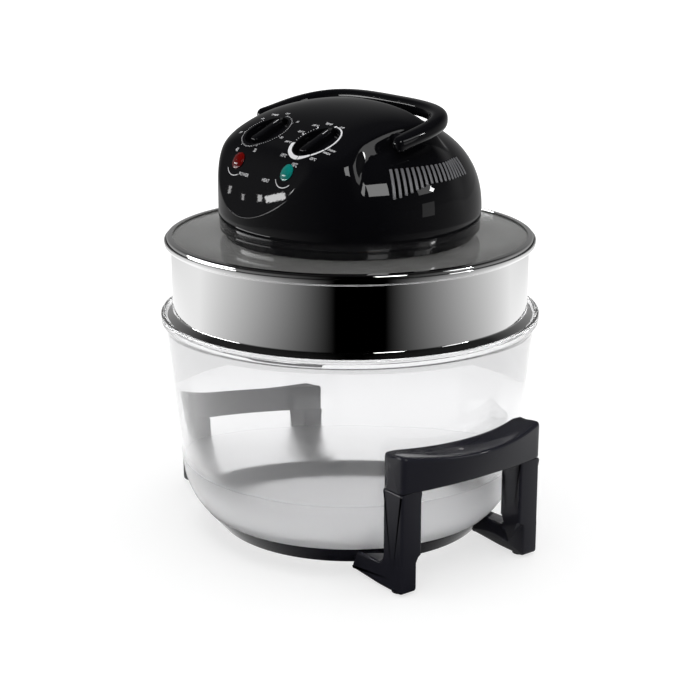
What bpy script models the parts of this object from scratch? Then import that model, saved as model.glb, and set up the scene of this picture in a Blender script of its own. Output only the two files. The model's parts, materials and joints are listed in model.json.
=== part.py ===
"""Turbo convection oven: a glass bowl in a plastic stand, a steel extender ring, a lid with the heater head.

Metres, +Z up. The origin is the middle of the footprint on the table, and the control panel faces -Y.
The bowl, the extender, the lid, the carry handle, the two knobs and the fan shaft each hang from an empty on
their joint's axis."""

from math import asin, cos, hypot, pi, radians, sin, tan

import bmesh
import bpy
from mathutils import Matrix, Vector

# Clearances shared by the whole oven
SEAT_GAP = 0.0003
RUNNING_GAP = 0.0004
CUT_OVERRUN = 0.004
ROUND_STEPS = 40
DRUM_STEPS = 20
SMALL_STEPS = 12
SCREW_STEPS = 8
TUBE_SIDES = 8
MITRE_LIMIT = 0.5
SMOOTH_ANGLE = radians(40)
WELD = 0.000001

# Glass bowl
BOWL_RIM_R = 0.165
BOWL_HEIGHT = 0.191
BOWL_BASE_Z = 0.006
BOWL_WALL = 0.005
BOWL_CORNER_R = 0.058
BOWL_TAPER = radians(5.3)
BOWL_RIM_OVERHANG = 0.0044
BOWL_RIM_HEIGHT = 0.0075
BOWL_RIM_ROUND = 0.002
BOWL_RIM_WIDTH = 0.0036
BOWL_FLARE_HEIGHT = 0.007
BOWL_LEDGE_DEPTH = 0.004
BOWL_LEDGE_WIDTH = 0.0068
BOWL_CORNER_STEPS = 5

# What the bowl's sizes give
BOWL_TOP_Z = BOWL_BASE_Z + BOWL_HEIGHT
LEDGE_Z = BOWL_TOP_Z - BOWL_LEDGE_DEPTH
BOWL_LEDGE_R = BOWL_RIM_R - BOWL_RIM_WIDTH
BOWL_MOUTH_R = BOWL_LEDGE_R - BOWL_LEDGE_WIDTH
BOWL_RIM_LOW_Z = BOWL_TOP_Z - BOWL_RIM_HEIGHT
BOWL_FLARE_Z = BOWL_RIM_LOW_Z - BOWL_FLARE_HEIGHT
BOWL_CORNER_Z = BOWL_BASE_Z + BOWL_CORNER_R
BOWL_CORNER_TOP_Z = BOWL_CORNER_Z - BOWL_CORNER_R * sin(BOWL_TAPER)
BOWL_CORNER_TOP_R = BOWL_RIM_R - BOWL_RIM_OVERHANG - (BOWL_FLARE_Z - BOWL_CORNER_TOP_Z) * tan(BOWL_TAPER)
BOWL_FLOOR_R = BOWL_CORNER_TOP_R - BOWL_CORNER_R * cos(BOWL_TAPER)

# Stand
RING_SEAT_REACH = 0.0214
RING_WIDTH = 0.0054
RING_HEIGHT = 0.0178
RING_SEAT_STEPS = 4
FOOT_Z = 0.0018
PAD_R = 0.0065
UPRIGHT_REACH = 0.0511
UPRIGHT_WIDTH = 0.0250
UPRIGHT_IN_Y = 0.0535
UPRIGHT_DEPTH = 0.0210
FOOT_NOTCH_DEPTH = 0.0050
FOOT_NOTCH_Z = 0.032
ARM_ROOT_DEPTH = 0.0123
ARM_DROP = 0.0013
ARM_FILLET = 0.006
ARM_FILLET_STEPS = 3
SEAM_Z = 0.0885
LEG_BEVEL = 0.0025
GRIP_END_HEIGHT = 0.0330
GRIP_MID_HEIGHT = 0.0265
GRIP_INNER_HEIGHT = 0.0310
GRIP_BULGE_TOP = 0.0150
GRIP_BULGE_BOTTOM = 0.0065
GRIP_BOWL_GAP = 0.0012
GRIP_STATIONS = 13
GRIP_EDGE = 0.0022
GRIP_STUD_R = 0.0020
GRIP_STUD_DEPTH = 0.014

# What the stand takes from the bowl
RING_BOTTOM_Z = BOWL_BASE_Z
RING_TOP_Z = RING_BOTTOM_Z + RING_HEIGHT
RING_INNER_R = BOWL_FLOOR_R + RING_SEAT_REACH
RING_BOTTOM_R = RING_INNER_R + RING_WIDTH
ARM_ROOT_X = RING_INNER_R - ARM_ROOT_DEPTH
ARM_TOP_Z = RING_TOP_Z - ARM_DROP
UPRIGHT_IN_X = BOWL_FLOOR_R + UPRIGHT_REACH
UPRIGHT_OUT_X = UPRIGHT_IN_X + UPRIGHT_WIDTH
UPRIGHT_OUT_Y = UPRIGHT_IN_Y + UPRIGHT_DEPTH
FOOT_IN_Y = UPRIGHT_IN_Y + FOOT_NOTCH_DEPTH
GRIP_END_Z = SEAM_Z + GRIP_END_HEIGHT
GRIP_MID_Z = SEAM_Z + GRIP_MID_HEIGHT
GRIP_INNER_Z = SEAM_Z + GRIP_INNER_HEIGHT

# Steel extender ring
SHEET = 0.0012
EXTENDER_HEIGHT = 0.0681
EXTENDER_CUP_DEPTH = 0.0045
EXTENDER_CUP_WIDTH = 0.0056
EXTENDER_LIP_GAP = 0.0008
EXTENDER_LIP_WIDTH = 0.0058
EXTENDER_SLOPE = 0.0042
EXTENDER_LIP_R = BOWL_LEDGE_R - EXTENDER_LIP_GAP
EXTENDER_R = EXTENDER_LIP_R - EXTENDER_LIP_WIDTH
EXTENDER_CUP_R = EXTENDER_R + EXTENDER_CUP_WIDTH
EXTENDER_TOP_Z = LEDGE_Z + EXTENDER_HEIGHT
CUP_FLOOR_Z = EXTENDER_TOP_Z - EXTENDER_CUP_DEPTH

# Glass lid with its steel rim, and its hole under the head
HEAD_R = 0.1133
GLASS_THICK = 0.004
LID_RIM_GAP = 0.0007
LID_RIM_LIP = 0.0050
LID_RIM_SHEET = 0.0008
LID_EDGE_GAP = 0.0012
LID_HOLE_INSET = 0.0273
LID_RISE = 0.0003
LID_MIDDLE_SHARE = 0.75
LID_HOLE_R = HEAD_R - LID_HOLE_INSET
LID_RIM_R = EXTENDER_CUP_R - SHEET - LID_RIM_GAP
LID_GLASS_R = LID_RIM_R - LID_RIM_SHEET - LID_EDGE_GAP
LID_FOOT_Z = CUP_FLOOR_Z + SHEET + SEAT_GAP
GLASS_UNDER_Z = LID_FOOT_Z + LID_RIM_SHEET + SEAT_GAP
GLASS_TOP_Z = GLASS_UNDER_Z + GLASS_THICK
HOLE_UNDER_Z = GLASS_UNDER_Z + LID_RISE

# Collar of the heater head, which stands on the lid's glass
HEAD_FOOT_INSET = 0.0009
COLLAR_INSET = 0.0058
COLLAR_WALL = 0.0028
COLLAR_HEIGHT = 0.0059
COLLAR_FLANGE = 0.0025
SPIGOT_GAP = 0.0004
SPIGOT_WALL = 0.0040
SPIGOT_DEPTH = 0.0028
HEAD_FOOT_R = HEAD_R - HEAD_FOOT_INSET
COLLAR_R = HEAD_R - COLLAR_INSET
SPIGOT_R = LID_HOLE_R - SPIGOT_GAP
COLLAR_FOOT_Z = GLASS_TOP_Z + LID_RISE + SEAT_GAP
COLLAR_FLOOR_Z = COLLAR_FOOT_Z + COLLAR_WALL
COLLAR_FLANGE_Z = COLLAR_FOOT_Z + COLLAR_HEIGHT
COLLAR_TOP_Z = COLLAR_FLANGE_Z + COLLAR_FLANGE
COVER_FOOT_Z = COLLAR_TOP_Z + SEAT_GAP

# Heater head outside: heights over the spring line, where the cover's upright wall ends
HEAD_WALL_HEIGHT = 0.0125
HEAD_SPRING_Z = COVER_FOOT_Z + HEAD_WALL_HEIGHT
HEAD_RISE = 0.0925
HEAD_POWER = 4.5
HEAD_WALL = 0.0028
HEAD_STEPS = 48
LOW_RISE = 0.0815
LOW_POWER = 2.8
TOP_CROWN_R = 0.45
DIAL_SLOPE = radians(26.5)
DIAL_INSET = 0.0516
DIAL_Y = DIAL_INSET - HEAD_R
DIAL_RISE = 0.0691
DIAL_Z = HEAD_SPRING_Z + DIAL_RISE
LAMP_SLOPE = radians(60)
LAMP_INSET = 0.0228
LAMP_Y = LAMP_INSET - HEAD_R
LAMP_RISE = 0.0462
LAMP_Z = HEAD_SPRING_Z + LAMP_RISE
PANEL_TURN = 0.0075
PANEL_BLEND = 0.0174
REAR_RISE = 0.0834
REAR_POWER = 2.38
RIDGE_INSET = 0.0343
RIDGE_WIDTH = 0.0055
RIDGE_FADE = 0.034
RIDGE_FADE_Y = -0.045
RIDGE_FADE_LENGTH = 0.040
RIDGE_X = HEAD_R - RIDGE_INSET
BLOCK_BACK_Y = 0.017
BLOCK_BACK_LENGTH = 0.0256
BLOCK_FRONT_SHARE = 0.93
SHOULDER_FRONT_SHARE = 0.95
SHOULDER_RING_SHARES = (1.0, 0.965, 0.88, 0.7, 0.4, 0.0)
BLOCK_RING_SHARES = (1.0, 0.94, 0.88, 0.82, 0.74, 0.62, 0.5, 0.41, 0.33, 0.25, 0.16)
VENT_COUNT = 17
VENT_FIRST = radians(-17)
VENT_PITCH = radians(2.75)
VENT_WIDTH = 0.0022
VENT_TOP_RISE = 0.0520
VENT_HIGH_RISE = 0.0375
VENT_LOW_RISE = 0.0285
VENT_RAMP_COUNT = 6

# Knobs in their wells, and lamps
WELL_R = 0.0200
WELL_DEPTH = 0.0085
WELL_WALL = 0.0022
WELL_TOP_DROP = 0.0021
KNOB_X = 0.0352
KNOB_R = 0.0185
KNOB_SKIRT = 0.0030
KNOB_LIFT = 0.0008
KNOB_BAR_WIDTH = 0.0095
KNOB_BAR_HEIGHT = 0.0062
KNOB_BAR_TAPER = 0.0018
KNOB_STEPS = 30
SPINDLE_R = 0.0030
CONTROL_GAP = 0.0008
LAMP_X = 0.0352
LAMP_R = 0.0064
LAMP_PROUD = 0.0030
LAMP_FLANGE = 0.0009
LAMP_FLANGE_WIDTH = 0.0010
LAMP_BODY_LENGTH = 0.0120

# Carry handle
HANDLE_WIDTH = 0.0150
HANDLE_HEIGHT = 0.0130
HANDLE_ARM_GAP = 0.0080
HANDLE_GRIP_REACH = 0.0613
HANDLE_GRIP_RISE = 0.0147
HANDLE_END_REACH = 0.0075
HANDLE_END_DROP = 0.0017
HANDLE_POWER = 3.4
HANDLE_STATIONS = 27
HANDLE_SIDES = 8
PIVOT_Y = -0.0150
PIVOT_RISE = 0.0725
PIVOT_R = 0.0032
PIVOT_REACH = 0.0110
PIVOT_GRIP = 0.0060
PIVOT_Z = HEAD_SPRING_Z + PIVOT_RISE
HANDLE_X = RIDGE_X + HANDLE_ARM_GAP + HANDLE_WIDTH / 2
HANDLE_FRONT_Y = PIVOT_Y - HANDLE_END_REACH
HANDLE_FRONT_Z = PIVOT_Z - HANDLE_END_DROP
HANDLE_GRIP_Y = PIVOT_Y + HANDLE_GRIP_REACH
HANDLE_GRIP_Z = PIVOT_Z + HANDLE_GRIP_RISE

# Heater under the lid
PAN_GAP = 0.0004
PAN_SHEET = 0.0012
PAN_RISE = 0.0052
PAN_HOLE_R = 0.0065
FLANGE_WIDTH = 0.0133
GASKET_THICK = 0.0015
GASKET_EDGE = 0.0005
PAN_SCREW_R = 0.0013
PAN_SCREW_HEAD_R = 0.0026
PAN_SCREW_HEAD = 0.0018
PAN_SCREW_LENGTH = 0.0080
PAN_SCREW_COUNT = 4
LAMP_RING_R = 0.0600
LAMP_TUBE_R = 0.0048
LAMP_RING_DROP = 0.0200
LAMP_OPEN = radians(9)
LAMP_TURNS = 26
SOCKET_SIZE = (0.0130, 0.0120, 0.0080)
CLIP_THICK = 0.0010
CLIP_WIDTH = 0.0060
CLIP_TURN = radians(125)
SHROUD_SHEET = 0.0010
SHROUD_LIP = 0.0040
GUARD_DROP = 0.0320
GUARD_SHEET = 0.0012
GUARD_BAND = 0.0030
GUARD_RING_SHARES = (0.45, 0.89)
GUARD_HUB_SHARE = 0.12
GUARD_SPOKES = 5
BULB_R = 0.0025
BULB_LENGTH = 0.0190
BULB_INSET = 0.0090
BULB_ANGLE = radians(-38)
CAPILLARY_R = 0.0009
CAPILLARY_BOW_SHARE = 1.12
CAPILLARY_STEPS = 4
PAN_WALL_R = SPIGOT_R - SPIGOT_WALL - PAN_GAP
PAN_FLANGE_R = PAN_WALL_R + FLANGE_WIDTH
GASKET_R = PAN_FLANGE_R - GASKET_EDGE
SHROUD_R = PAN_FLANGE_R - GASKET_EDGE
BULB_RADIUS = PAN_WALL_R - BULB_INSET
PAN_TOP_Z = COLLAR_FOOT_Z + PAN_RISE
FLANGE_TOP_Z = HOLE_UNDER_Z - GASKET_THICK - 2 * SEAT_GAP
FLANGE_UNDER_Z = FLANGE_TOP_Z - PAN_SHEET
LAMP_RING_Z = PAN_TOP_Z - LAMP_RING_DROP
GUARD_Z = PAN_TOP_Z - GUARD_DROP

# Motor and fans, in heights from the heater pan's top
SHAFT_R = 0.0030
SHAFT_DROP = 0.0250
SHAFT_RISE = 0.0580
FAN_R = 0.0400
FAN_DROP = 0.0170
FAN_HEIGHT = 0.0100
FAN_BLADES = 6
COOLING_R = 0.0500
COOLING_RISE = 0.0076
COOLING_HEIGHT = 0.0120
COOLING_BLADES = 8
FAN_SHEET = 0.0010
FAN_DISC_SHARE = 0.62
FAN_CHORD_SHARE = 0.44
FAN_VANE_SHARE = 0.98
FAN_PITCH = radians(30)
HUB_R = 0.0075
STATOR_RISE = 0.0295
STATOR_SIZE = (0.0560, 0.0460, 0.0150)
STATOR_BORE_R = 0.0145
ROTOR_GAP = 0.0006
BRACKET_WIDTH = 0.0160
BRACKET_SHEET = 0.0016
BRACKET_STEP = 0.0060
BUSH_R = 0.0062
BUSH_HEIGHT = 0.0050
COIL_SIZE = (0.0130, 0.0260, 0.0240)
BRIDGE_SHEET = 0.0016
BRIDGE_INSET = 0.0175
BRIDGE_WIDTH = 0.0300
BRIDGE_FOOT = 0.0080
TIMER_SIZE = (0.0340, 0.0340, 0.0220)
THERMOSTAT_R = 0.0150
THERMOSTAT_DEPTH = 0.0180
SWITCH_SIZE = (0.0100, 0.0200, 0.0120)
SWITCH_LIFT = 0.0044
TERMINAL_SIZE = (0.0340, 0.0140, 0.0120)
TERMINAL_INSET = 0.0150
INLET_SIZE = (0.0280, 0.0170, 0.0200)
INLET_RISE = 0.0070
INLET_PROUD = 0.0030
INLET_RECESS = 0.0140
INLET_WALL = 0.0030
SHAFT_LOW_Z = PAN_TOP_Z - SHAFT_DROP
SHAFT_HIGH_Z = PAN_TOP_Z + SHAFT_RISE
FAN_Z = PAN_TOP_Z - FAN_DROP
COOLING_Z = PAN_TOP_Z + COOLING_RISE
STATOR_Z = PAN_TOP_Z + STATOR_RISE
ROTOR_R = STATOR_BORE_R - ROTOR_GAP
BRIDGE_X = COLLAR_R - BRIDGE_INSET
BRIDGE_Z = STATOR_Z - 2 * SEAT_GAP - BRACKET_STEP - BRACKET_SHEET - BRIDGE_SHEET
TERMINAL_Y = COLLAR_R - TERMINAL_INSET
INLET_Z = HEAD_SPRING_Z + INLET_RISE

# Colours and finishes: name, colour, roughness, metallic, and how much light passes
GLOSS_BLACK = ("gloss_black", (0.012, 0.012, 0.014), 0.12, 0.0, 0.0)
STAND_BLACK = ("stand_black", (0.018, 0.018, 0.026), 0.16, 0.0, 0.0)
CLEAR_GLASS = ("clear_glass", (0.93, 0.95, 0.95), 0.02, 0.0, 0.9)
SMOKED_GLASS = ("smoked_glass", (0.45, 0.45, 0.44), 0.03, 0.0, 0.7)
POLISHED_STEEL = ("polished_steel", (0.78, 0.78, 0.78), 0.10, 1.0, 0.0)
PRESSED_STEEL = ("pressed_steel", (0.62, 0.62, 0.62), 0.35, 1.0, 0.0)
SILICONE = ("silicone", (0.30, 0.30, 0.30), 0.70, 0.0, 0.0)
RUBBER = ("rubber", (0.03, 0.03, 0.03), 0.80, 0.0, 0.0)
RED_LENS = ("red_lens", (0.60, 0.01, 0.01), 0.10, 0.0, 0.4)
GREEN_LENS = ("green_lens", (0.01, 0.35, 0.27), 0.10, 0.0, 0.4)
CERAMIC = ("ceramic", (0.85, 0.83, 0.78), 0.55, 0.0, 0.0)
QUARTZ = ("quartz", (0.95, 0.93, 0.88), 0.05, 0.0, 0.6)
LAMINATIONS = ("laminations", (0.35, 0.34, 0.33), 0.50, 1.0, 0.0)
COPPER = ("copper", (0.72, 0.36, 0.18), 0.35, 1.0, 0.0)
BRASS = ("brass", (0.75, 0.58, 0.25), 0.30, 1.0, 0.0)
CREAM_PLASTIC = ("cream_plastic", (0.75, 0.72, 0.64), 0.45, 0.0, 0.0)

# The four legs, and the panel's frame
CORNERS = (("front_left", -1, -1), ("front_right", 1, -1), ("rear_left", -1, 1), ("rear_right", 1, 1))
DIAL_NORMAL = Vector((0, -sin(DIAL_SLOPE), cos(DIAL_SLOPE)))
LAMP_NORMAL = Vector((0, -sin(LAMP_SLOPE), cos(LAMP_SLOPE)))
DIAL_TILT = Matrix.Rotation(DIAL_SLOPE, 4, "X")
LAMP_TILT = Matrix.Rotation(LAMP_SLOPE, 4, "X")
CONTROL_TOP = -WELL_DEPTH - WELL_WALL - CONTROL_GAP

materials = {}


def clear_scene():
    for obj in list(bpy.data.objects):
        bpy.data.objects.remove(obj, do_unlink=True)


def material(finish):
    """The Principled material of one finish, made once."""
    name, colour, roughness, metallic, clear = finish
    if name not in materials:
        made = bpy.data.materials.new(name)
        made.use_nodes = True
        shader = made.node_tree.nodes["Principled BSDF"]
        shader.inputs["Base Color"].default_value = (*colour, 1)
        shader.inputs["Roughness"].default_value = roughness
        shader.inputs["Metallic"].default_value = metallic
        shader.inputs["Transmission Weight"].default_value = clear
        made.diffuse_color = (*colour, 1)
        materials[name] = made
    return materials[name]


def empty(name, place, parent=None):
    """A body's empty, on its joint's axis."""
    obj = bpy.data.objects.new(name, None)
    bpy.context.collection.objects.link(obj)
    obj["place"] = Vector(place)
    obj.location = Vector(place) - (Vector(parent["place"]) if parent else Vector())
    obj.parent = parent
    return obj


def add(name, bm, finish, body, weld=WELD):
    """Turns a bmesh in world places into a named object whose origin is its body's empty."""
    bmesh.ops.remove_doubles(bm, verts=bm.verts, dist=weld)
    bmesh.ops.recalc_face_normals(bm, faces=bm.faces)
    place = Vector(body["place"])
    bmesh.ops.translate(bm, verts=bm.verts, vec=-place)
    mesh = bpy.data.meshes.new(name)
    bm.to_mesh(mesh)
    bm.free()
    mesh.shade_smooth()
    mesh.set_sharp_from_angle(angle=SMOOTH_ANGLE)
    mesh.materials.append(material(finish))
    obj = bpy.data.objects.new(name, mesh)
    bpy.context.collection.objects.link(obj)
    obj.parent = body
    return obj


def helper(name, bm, body):
    """A guide body for a Boolean: it never shows and isn't a piece."""
    obj = add(name, bm, GLOSS_BLACK, body)
    obj.hide_render = True
    obj.display_type = "WIRE"
    return obj


def combine(obj, other, operation):
    """A live Boolean of obj with a guide body."""
    step = obj.modifiers.new(operation.lower(), "BOOLEAN")
    step.operation = operation
    step.solver = "EXACT"
    step.object = other


def lathe(bm, profile, steps=ROUND_STEPS, closed=True):
    """Spins a profile of (radius, height) points about the Z axis. A closed profile makes a ring."""
    verts = [bm.verts.new((radius, 0, height)) for radius, height in profile]
    last = len(verts) if closed else len(verts) - 1
    edges = [bm.edges.new((verts[i], verts[(i + 1) % len(verts)])) for i in range(last)]
    bmesh.ops.spin(
        bm, geom=verts + edges, cent=(0, 0, 0), axis=(0, 0, 1), angle=2 * pi, steps=steps, use_merge=True
    )


def turned(profile, steps=ROUND_STEPS, closed=True):
    bm = bmesh.new()
    lathe(bm, profile, steps, closed)
    return bm


def arc(centre, radius, start, end, steps):
    """Points on an arc in the profile plane, angles from the +radius direction."""
    turns = [start + (end - start) * i / steps for i in range(steps + 1)]
    return [(centre[0] + radius * cos(turn), centre[1] + radius * sin(turn)) for turn in turns]


def offset(path, distance):
    """The path moved sideways by a distance to its left, with mitred corners."""
    moved = []
    for i, point in enumerate(path):
        before = path[max(i - 1, 0)]
        after = path[min(i + 1, len(path) - 1)]
        into = Vector(point) - Vector(before) if i else Vector(after) - Vector(point)
        out = Vector(after) - Vector(point) if i < len(path) - 1 else into
        into.normalize()
        out.normalize()
        bisector = (into + out).normalized()
        side = Vector((-bisector.y, bisector.x))
        reach = distance / max(side.dot(Vector((-into.y, into.x))), MITRE_LIMIT)
        moved.append((point[0] + side.x * reach, point[1] + side.y * reach))
    return moved


def sheet(path, thickness):
    """The closed profile of a sheet that lies to the left of a path."""
    return list(path) + list(reversed(offset(path, thickness)))


def box(bm, size, centre, turn=None):
    """A box of a size about a centre, turned about that centre."""
    scale = Matrix.Diagonal((*size, 1))
    place = Matrix.Translation(centre) @ (turn or Matrix()) @ scale
    return bmesh.ops.create_cube(bm, size=1, matrix=place)["verts"]


def rod(bm, radius, start, end, steps=SMALL_STEPS, end_radius=None):
    """A round bar between two points."""
    start, end = Vector(start), Vector(end)
    along = end - start
    turn = along.to_track_quat("Z", "Y").to_matrix().to_4x4()
    place = Matrix.Translation((start + end) / 2) @ turn
    bmesh.ops.create_cone(
        bm,
        cap_ends=True,
        segments=steps,
        radius1=radius,
        radius2=radius if end_radius is None else end_radius,
        depth=along.length,
        matrix=place,
    )


def loft(bm, rings):
    """Joins rings of points into one closed skin, capped at both ends."""
    made = [[bm.verts.new(point) for point in ring] for ring in rings]
    count = len(made[0])
    for low, high in zip(made, made[1:]):
        for i in range(count):
            j = (i + 1) % count
            bm.faces.new((low[i], low[j], high[j], high[i]))
    bm.faces.new(made[0])
    bm.faces.new(made[-1])


def prism(bm, outline, low, high, upright=False):
    """An outline extruded between two levels: XY along Z, or with upright XZ along Y."""
    place = (lambda a, b, c: (a, c, b)) if upright else (lambda a, b, c: (a, b, c))
    loft(bm, [[place(a, b, level) for a, b in outline] for level in (low, high)])


def smooth_min(a, b, blend):
    """The lower of two heights, with the corner between them rounded over a blend."""
    share = max(blend - abs(a - b), 0) / blend
    return min(a, b) - share * share * blend / 4


def smooth_step(value):
    value = min(max(value, 0), 1)
    return value * value * (3 - 2 * value)


def dial_point(side, lift=0):
    """A point on a dial's axis, lifted from the panel's upper plane."""
    return Vector((side * KNOB_X, DIAL_Y, DIAL_Z)) + DIAL_NORMAL * lift


def lamp_point(side, lift=0):
    """A point on a lamp's axis, lifted from the panel's lower, steeper plane."""
    return Vector((side * LAMP_X, LAMP_Y, LAMP_Z)) + LAMP_NORMAL * lift


def panel_height(y):
    """The panel's height: the dials' plane and the lamps' plane, with a rounded turn between them."""
    dials = DIAL_Z + tan(DIAL_SLOPE) * (y - DIAL_Y)
    lamps = LAMP_Z + tan(LAMP_SLOPE) * (y - LAMP_Y)
    return smooth_min(dials, lamps, PANEL_TURN)


def bowl_outer(z):
    """The bowl's outer radius on its tapered wall."""
    return BOWL_CORNER_TOP_R + (z - BOWL_CORNER_TOP_Z) * tan(BOWL_TAPER)


def dome(radius, rise, power):
    """A superellipse crown over the head's spring line."""
    share = min(radius / HEAD_R, 1)
    return HEAD_SPRING_Z + rise * (1 - share**power) ** (1 / power)


def head_height(x, y):
    """The cover's outer height.

    A full crown is cut by the sloped panel. Beside that raised block, from the ridge outwards, the height drops
    to a lower crown, the shoulders under the handle's arms. Behind it the height drops to the rear crown, which
    leaves room for the fingers under the handle's grip."""
    radius = hypot(x, y)
    full = dome(radius, HEAD_RISE - x * x / (2 * TOP_CROWN_R), HEAD_POWER)
    panel = panel_height(y)
    full = smooth_min(full, panel, PANEL_BLEND)
    low = smooth_min(dome(radius, LOW_RISE, LOW_POWER), panel, PANEL_BLEND)
    fade = RIDGE_WIDTH + RIDGE_FADE * smooth_step((RIDGE_FADE_Y - y) / RIDGE_FADE_LENGTH)
    beside = smooth_step((abs(x) - RIDGE_X) / fade)
    behind = smooth_step((y - BLOCK_BACK_Y) / BLOCK_BACK_LENGTH)
    level = full + (min(low, full) - full) * beside
    return level + (min(dome(radius, REAR_RISE, REAR_POWER), level) - level) * behind


def make_bowl(body):
    """Deep bowl: flat floor, round corner, tapered wall, and a rim with an inner ledge for the ring."""
    corner = arc((BOWL_FLOOR_R, BOWL_CORNER_Z), BOWL_CORNER_R, -pi / 2, -BOWL_TAPER, BOWL_CORNER_STEPS)
    outer = corner + [(bowl_outer(BOWL_FLARE_Z), BOWL_FLARE_Z)]
    inner = offset(outer, BOWL_WALL)
    rim = [
        (BOWL_RIM_R - BOWL_RIM_ROUND, BOWL_RIM_LOW_Z),
        (BOWL_RIM_R, BOWL_RIM_LOW_Z + BOWL_RIM_ROUND),
        (BOWL_RIM_R, BOWL_TOP_Z - BOWL_RIM_ROUND),
        (BOWL_RIM_R - BOWL_RIM_ROUND / 2, BOWL_TOP_Z),
        (BOWL_LEDGE_R, BOWL_TOP_Z),
        (BOWL_LEDGE_R, LEDGE_Z),
        (BOWL_MOUTH_R, LEDGE_Z),
    ]
    profile = [(0, BOWL_BASE_Z)] + outer + rim + list(reversed(inner)) + [(0, BOWL_BASE_Z + BOWL_WALL)]
    return add("glass_bowl", turned(profile, closed=False), CLEAR_GLASS, body)


def ring_section():
    """The stand ring's slanted wall: its top follows the bowl's corner and carries it."""
    seat_r = BOWL_CORNER_R + SEAT_GAP
    lip_turn = asin((BOWL_CORNER_Z - RING_TOP_Z) / seat_r)
    inner_turn = pi / 2 - asin((RING_INNER_R - BOWL_FLOOR_R) / seat_r)
    seat = arc((BOWL_FLOOR_R, BOWL_CORNER_Z), seat_r, -lip_turn, -inner_turn, RING_SEAT_STEPS)
    return [(RING_BOTTOM_R, RING_BOTTOM_Z)] + seat + [(RING_INNER_R, RING_BOTTOM_Z)]


def leg_outline():
    """One leg seen from the front, in X and Z: the arm, its fillet and the upright up to the seam."""
    centre = (UPRIGHT_IN_X - ARM_FILLET, ARM_TOP_Z + ARM_FILLET)
    fillet = arc(centre, ARM_FILLET, -pi / 2, 0, ARM_FILLET_STEPS)
    return (
        [(ARM_ROOT_X, RING_BOTTOM_Z - LEG_BEVEL), (UPRIGHT_IN_X - ARM_FILLET, FOOT_Z)]
        + [(UPRIGHT_OUT_X - LEG_BEVEL, FOOT_Z), (UPRIGHT_OUT_X, FOOT_Z + LEG_BEVEL)]
        + [(UPRIGHT_OUT_X, SEAM_Z), (UPRIGHT_IN_X, SEAM_Z)]
        + list(reversed(fillet))
        + [(ARM_ROOT_X + ARM_FILLET, RING_TOP_Z - LEG_BEVEL)]
    )


def make_leg(side, end, bowl_space, body):
    """One arm and upright. The foot is narrower than the upright, with a notch on its inner side."""
    bm = bmesh.new()
    outline = [(side * x, z) for x, z in leg_outline()]
    prism(bm, outline, end * UPRIGHT_OUT_Y, end * UPRIGHT_IN_Y, upright=True)
    bmesh.ops.recalc_face_normals(bm, faces=bm.faces)
    leg = helper("leg_guide", bm, body)
    notch = bmesh.new()
    reach = UPRIGHT_OUT_X - ARM_ROOT_X + 2 * CUT_OVERRUN
    depth = FOOT_IN_Y - UPRIGHT_IN_Y + CUT_OVERRUN
    x = side * (UPRIGHT_OUT_X + ARM_ROOT_X) / 2
    y = end * (FOOT_IN_Y - depth / 2)
    box(notch, (reach, depth, FOOT_NOTCH_Z + 2 * CUT_OVERRUN), (x, y, FOOT_NOTCH_Z / 2 - CUT_OVERRUN))
    combine(leg, helper("leg_notch", notch, body), "DIFFERENCE")
    combine(leg, bowl_space, "DIFFERENCE")
    return leg


def make_bowl_space(body):
    """The space of the bowl, cleared from the legs' roots."""
    seat_r = BOWL_CORNER_R + SEAT_GAP
    corner = arc((BOWL_FLOOR_R, BOWL_CORNER_Z), seat_r, -pi / 2, -BOWL_TAPER, BOWL_CORNER_STEPS)
    high = SEAM_Z + CUT_OVERRUN
    wall = (bowl_outer(high) + SEAT_GAP, high)
    profile = [(0, BOWL_BASE_Z - SEAT_GAP)] + corner + [wall, (0, high)]
    return helper("bowl_space", turned(profile, closed=False), body)


def make_stand(body):
    """The stand's one moulding: ring, four arms and four uprights."""
    frame = add("stand_frame", turned(ring_section()), STAND_BLACK, body)
    bowl_space = make_bowl_space(body)
    for _, side, end in CORNERS:
        combine(frame, make_leg(side, end, bowl_space, body), "UNION")
    holes = bmesh.new()
    for _, side, end in CORNERS:
        x, y = grip_stud_place(side, end)
        low, high = (x, y, SEAM_Z - GRIP_STUD_DEPTH), (x, y, SEAM_Z + CUT_OVERRUN)
        rod(holes, GRIP_STUD_R + SEAT_GAP, low, high, SCREW_STEPS)
    combine(frame, helper("stud_holes", holes, body), "DIFFERENCE")
    return frame


def grip_stud_place(side, end):
    return side * (UPRIGHT_IN_X + UPRIGHT_OUT_X) / 2, end * (UPRIGHT_IN_Y + UPRIGHT_OUT_Y) / 2


def grip_ring(side, share):
    """One section of a grip, which hugs the bowl and bulges outwards. share runs from -1 to 1 along Y."""
    y = share * UPRIGHT_OUT_Y
    bow = 1 - share * share
    low_x = UPRIGHT_OUT_X + GRIP_BULGE_BOTTOM * bow
    high_x = UPRIGHT_OUT_X + GRIP_BULGE_TOP * bow
    high_z = GRIP_END_Z + (GRIP_MID_Z - GRIP_END_Z) * bow
    low_z = SEAM_Z + SEAT_GAP
    clear = bowl_outer(GRIP_INNER_Z) + GRIP_BOWL_GAP
    hug = (clear * clear - y * y) ** 0.5
    inner_x = max(hug, UPRIGHT_IN_X)
    low_clear = bowl_outer(SEAM_Z) + GRIP_BOWL_GAP
    inner_low_x = max((low_clear * low_clear - y * y) ** 0.5, UPRIGHT_IN_X)
    points = [
        (inner_low_x, low_z),
        (low_x - GRIP_EDGE, low_z),
        (low_x, low_z + GRIP_EDGE),
        (high_x, high_z - GRIP_EDGE),
        (high_x - GRIP_EDGE, high_z),
        (inner_x + GRIP_EDGE, GRIP_INNER_Z),
        (inner_x, GRIP_INNER_Z - GRIP_EDGE),
    ]
    return [(side * x, y, z) for x, z in points]


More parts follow.
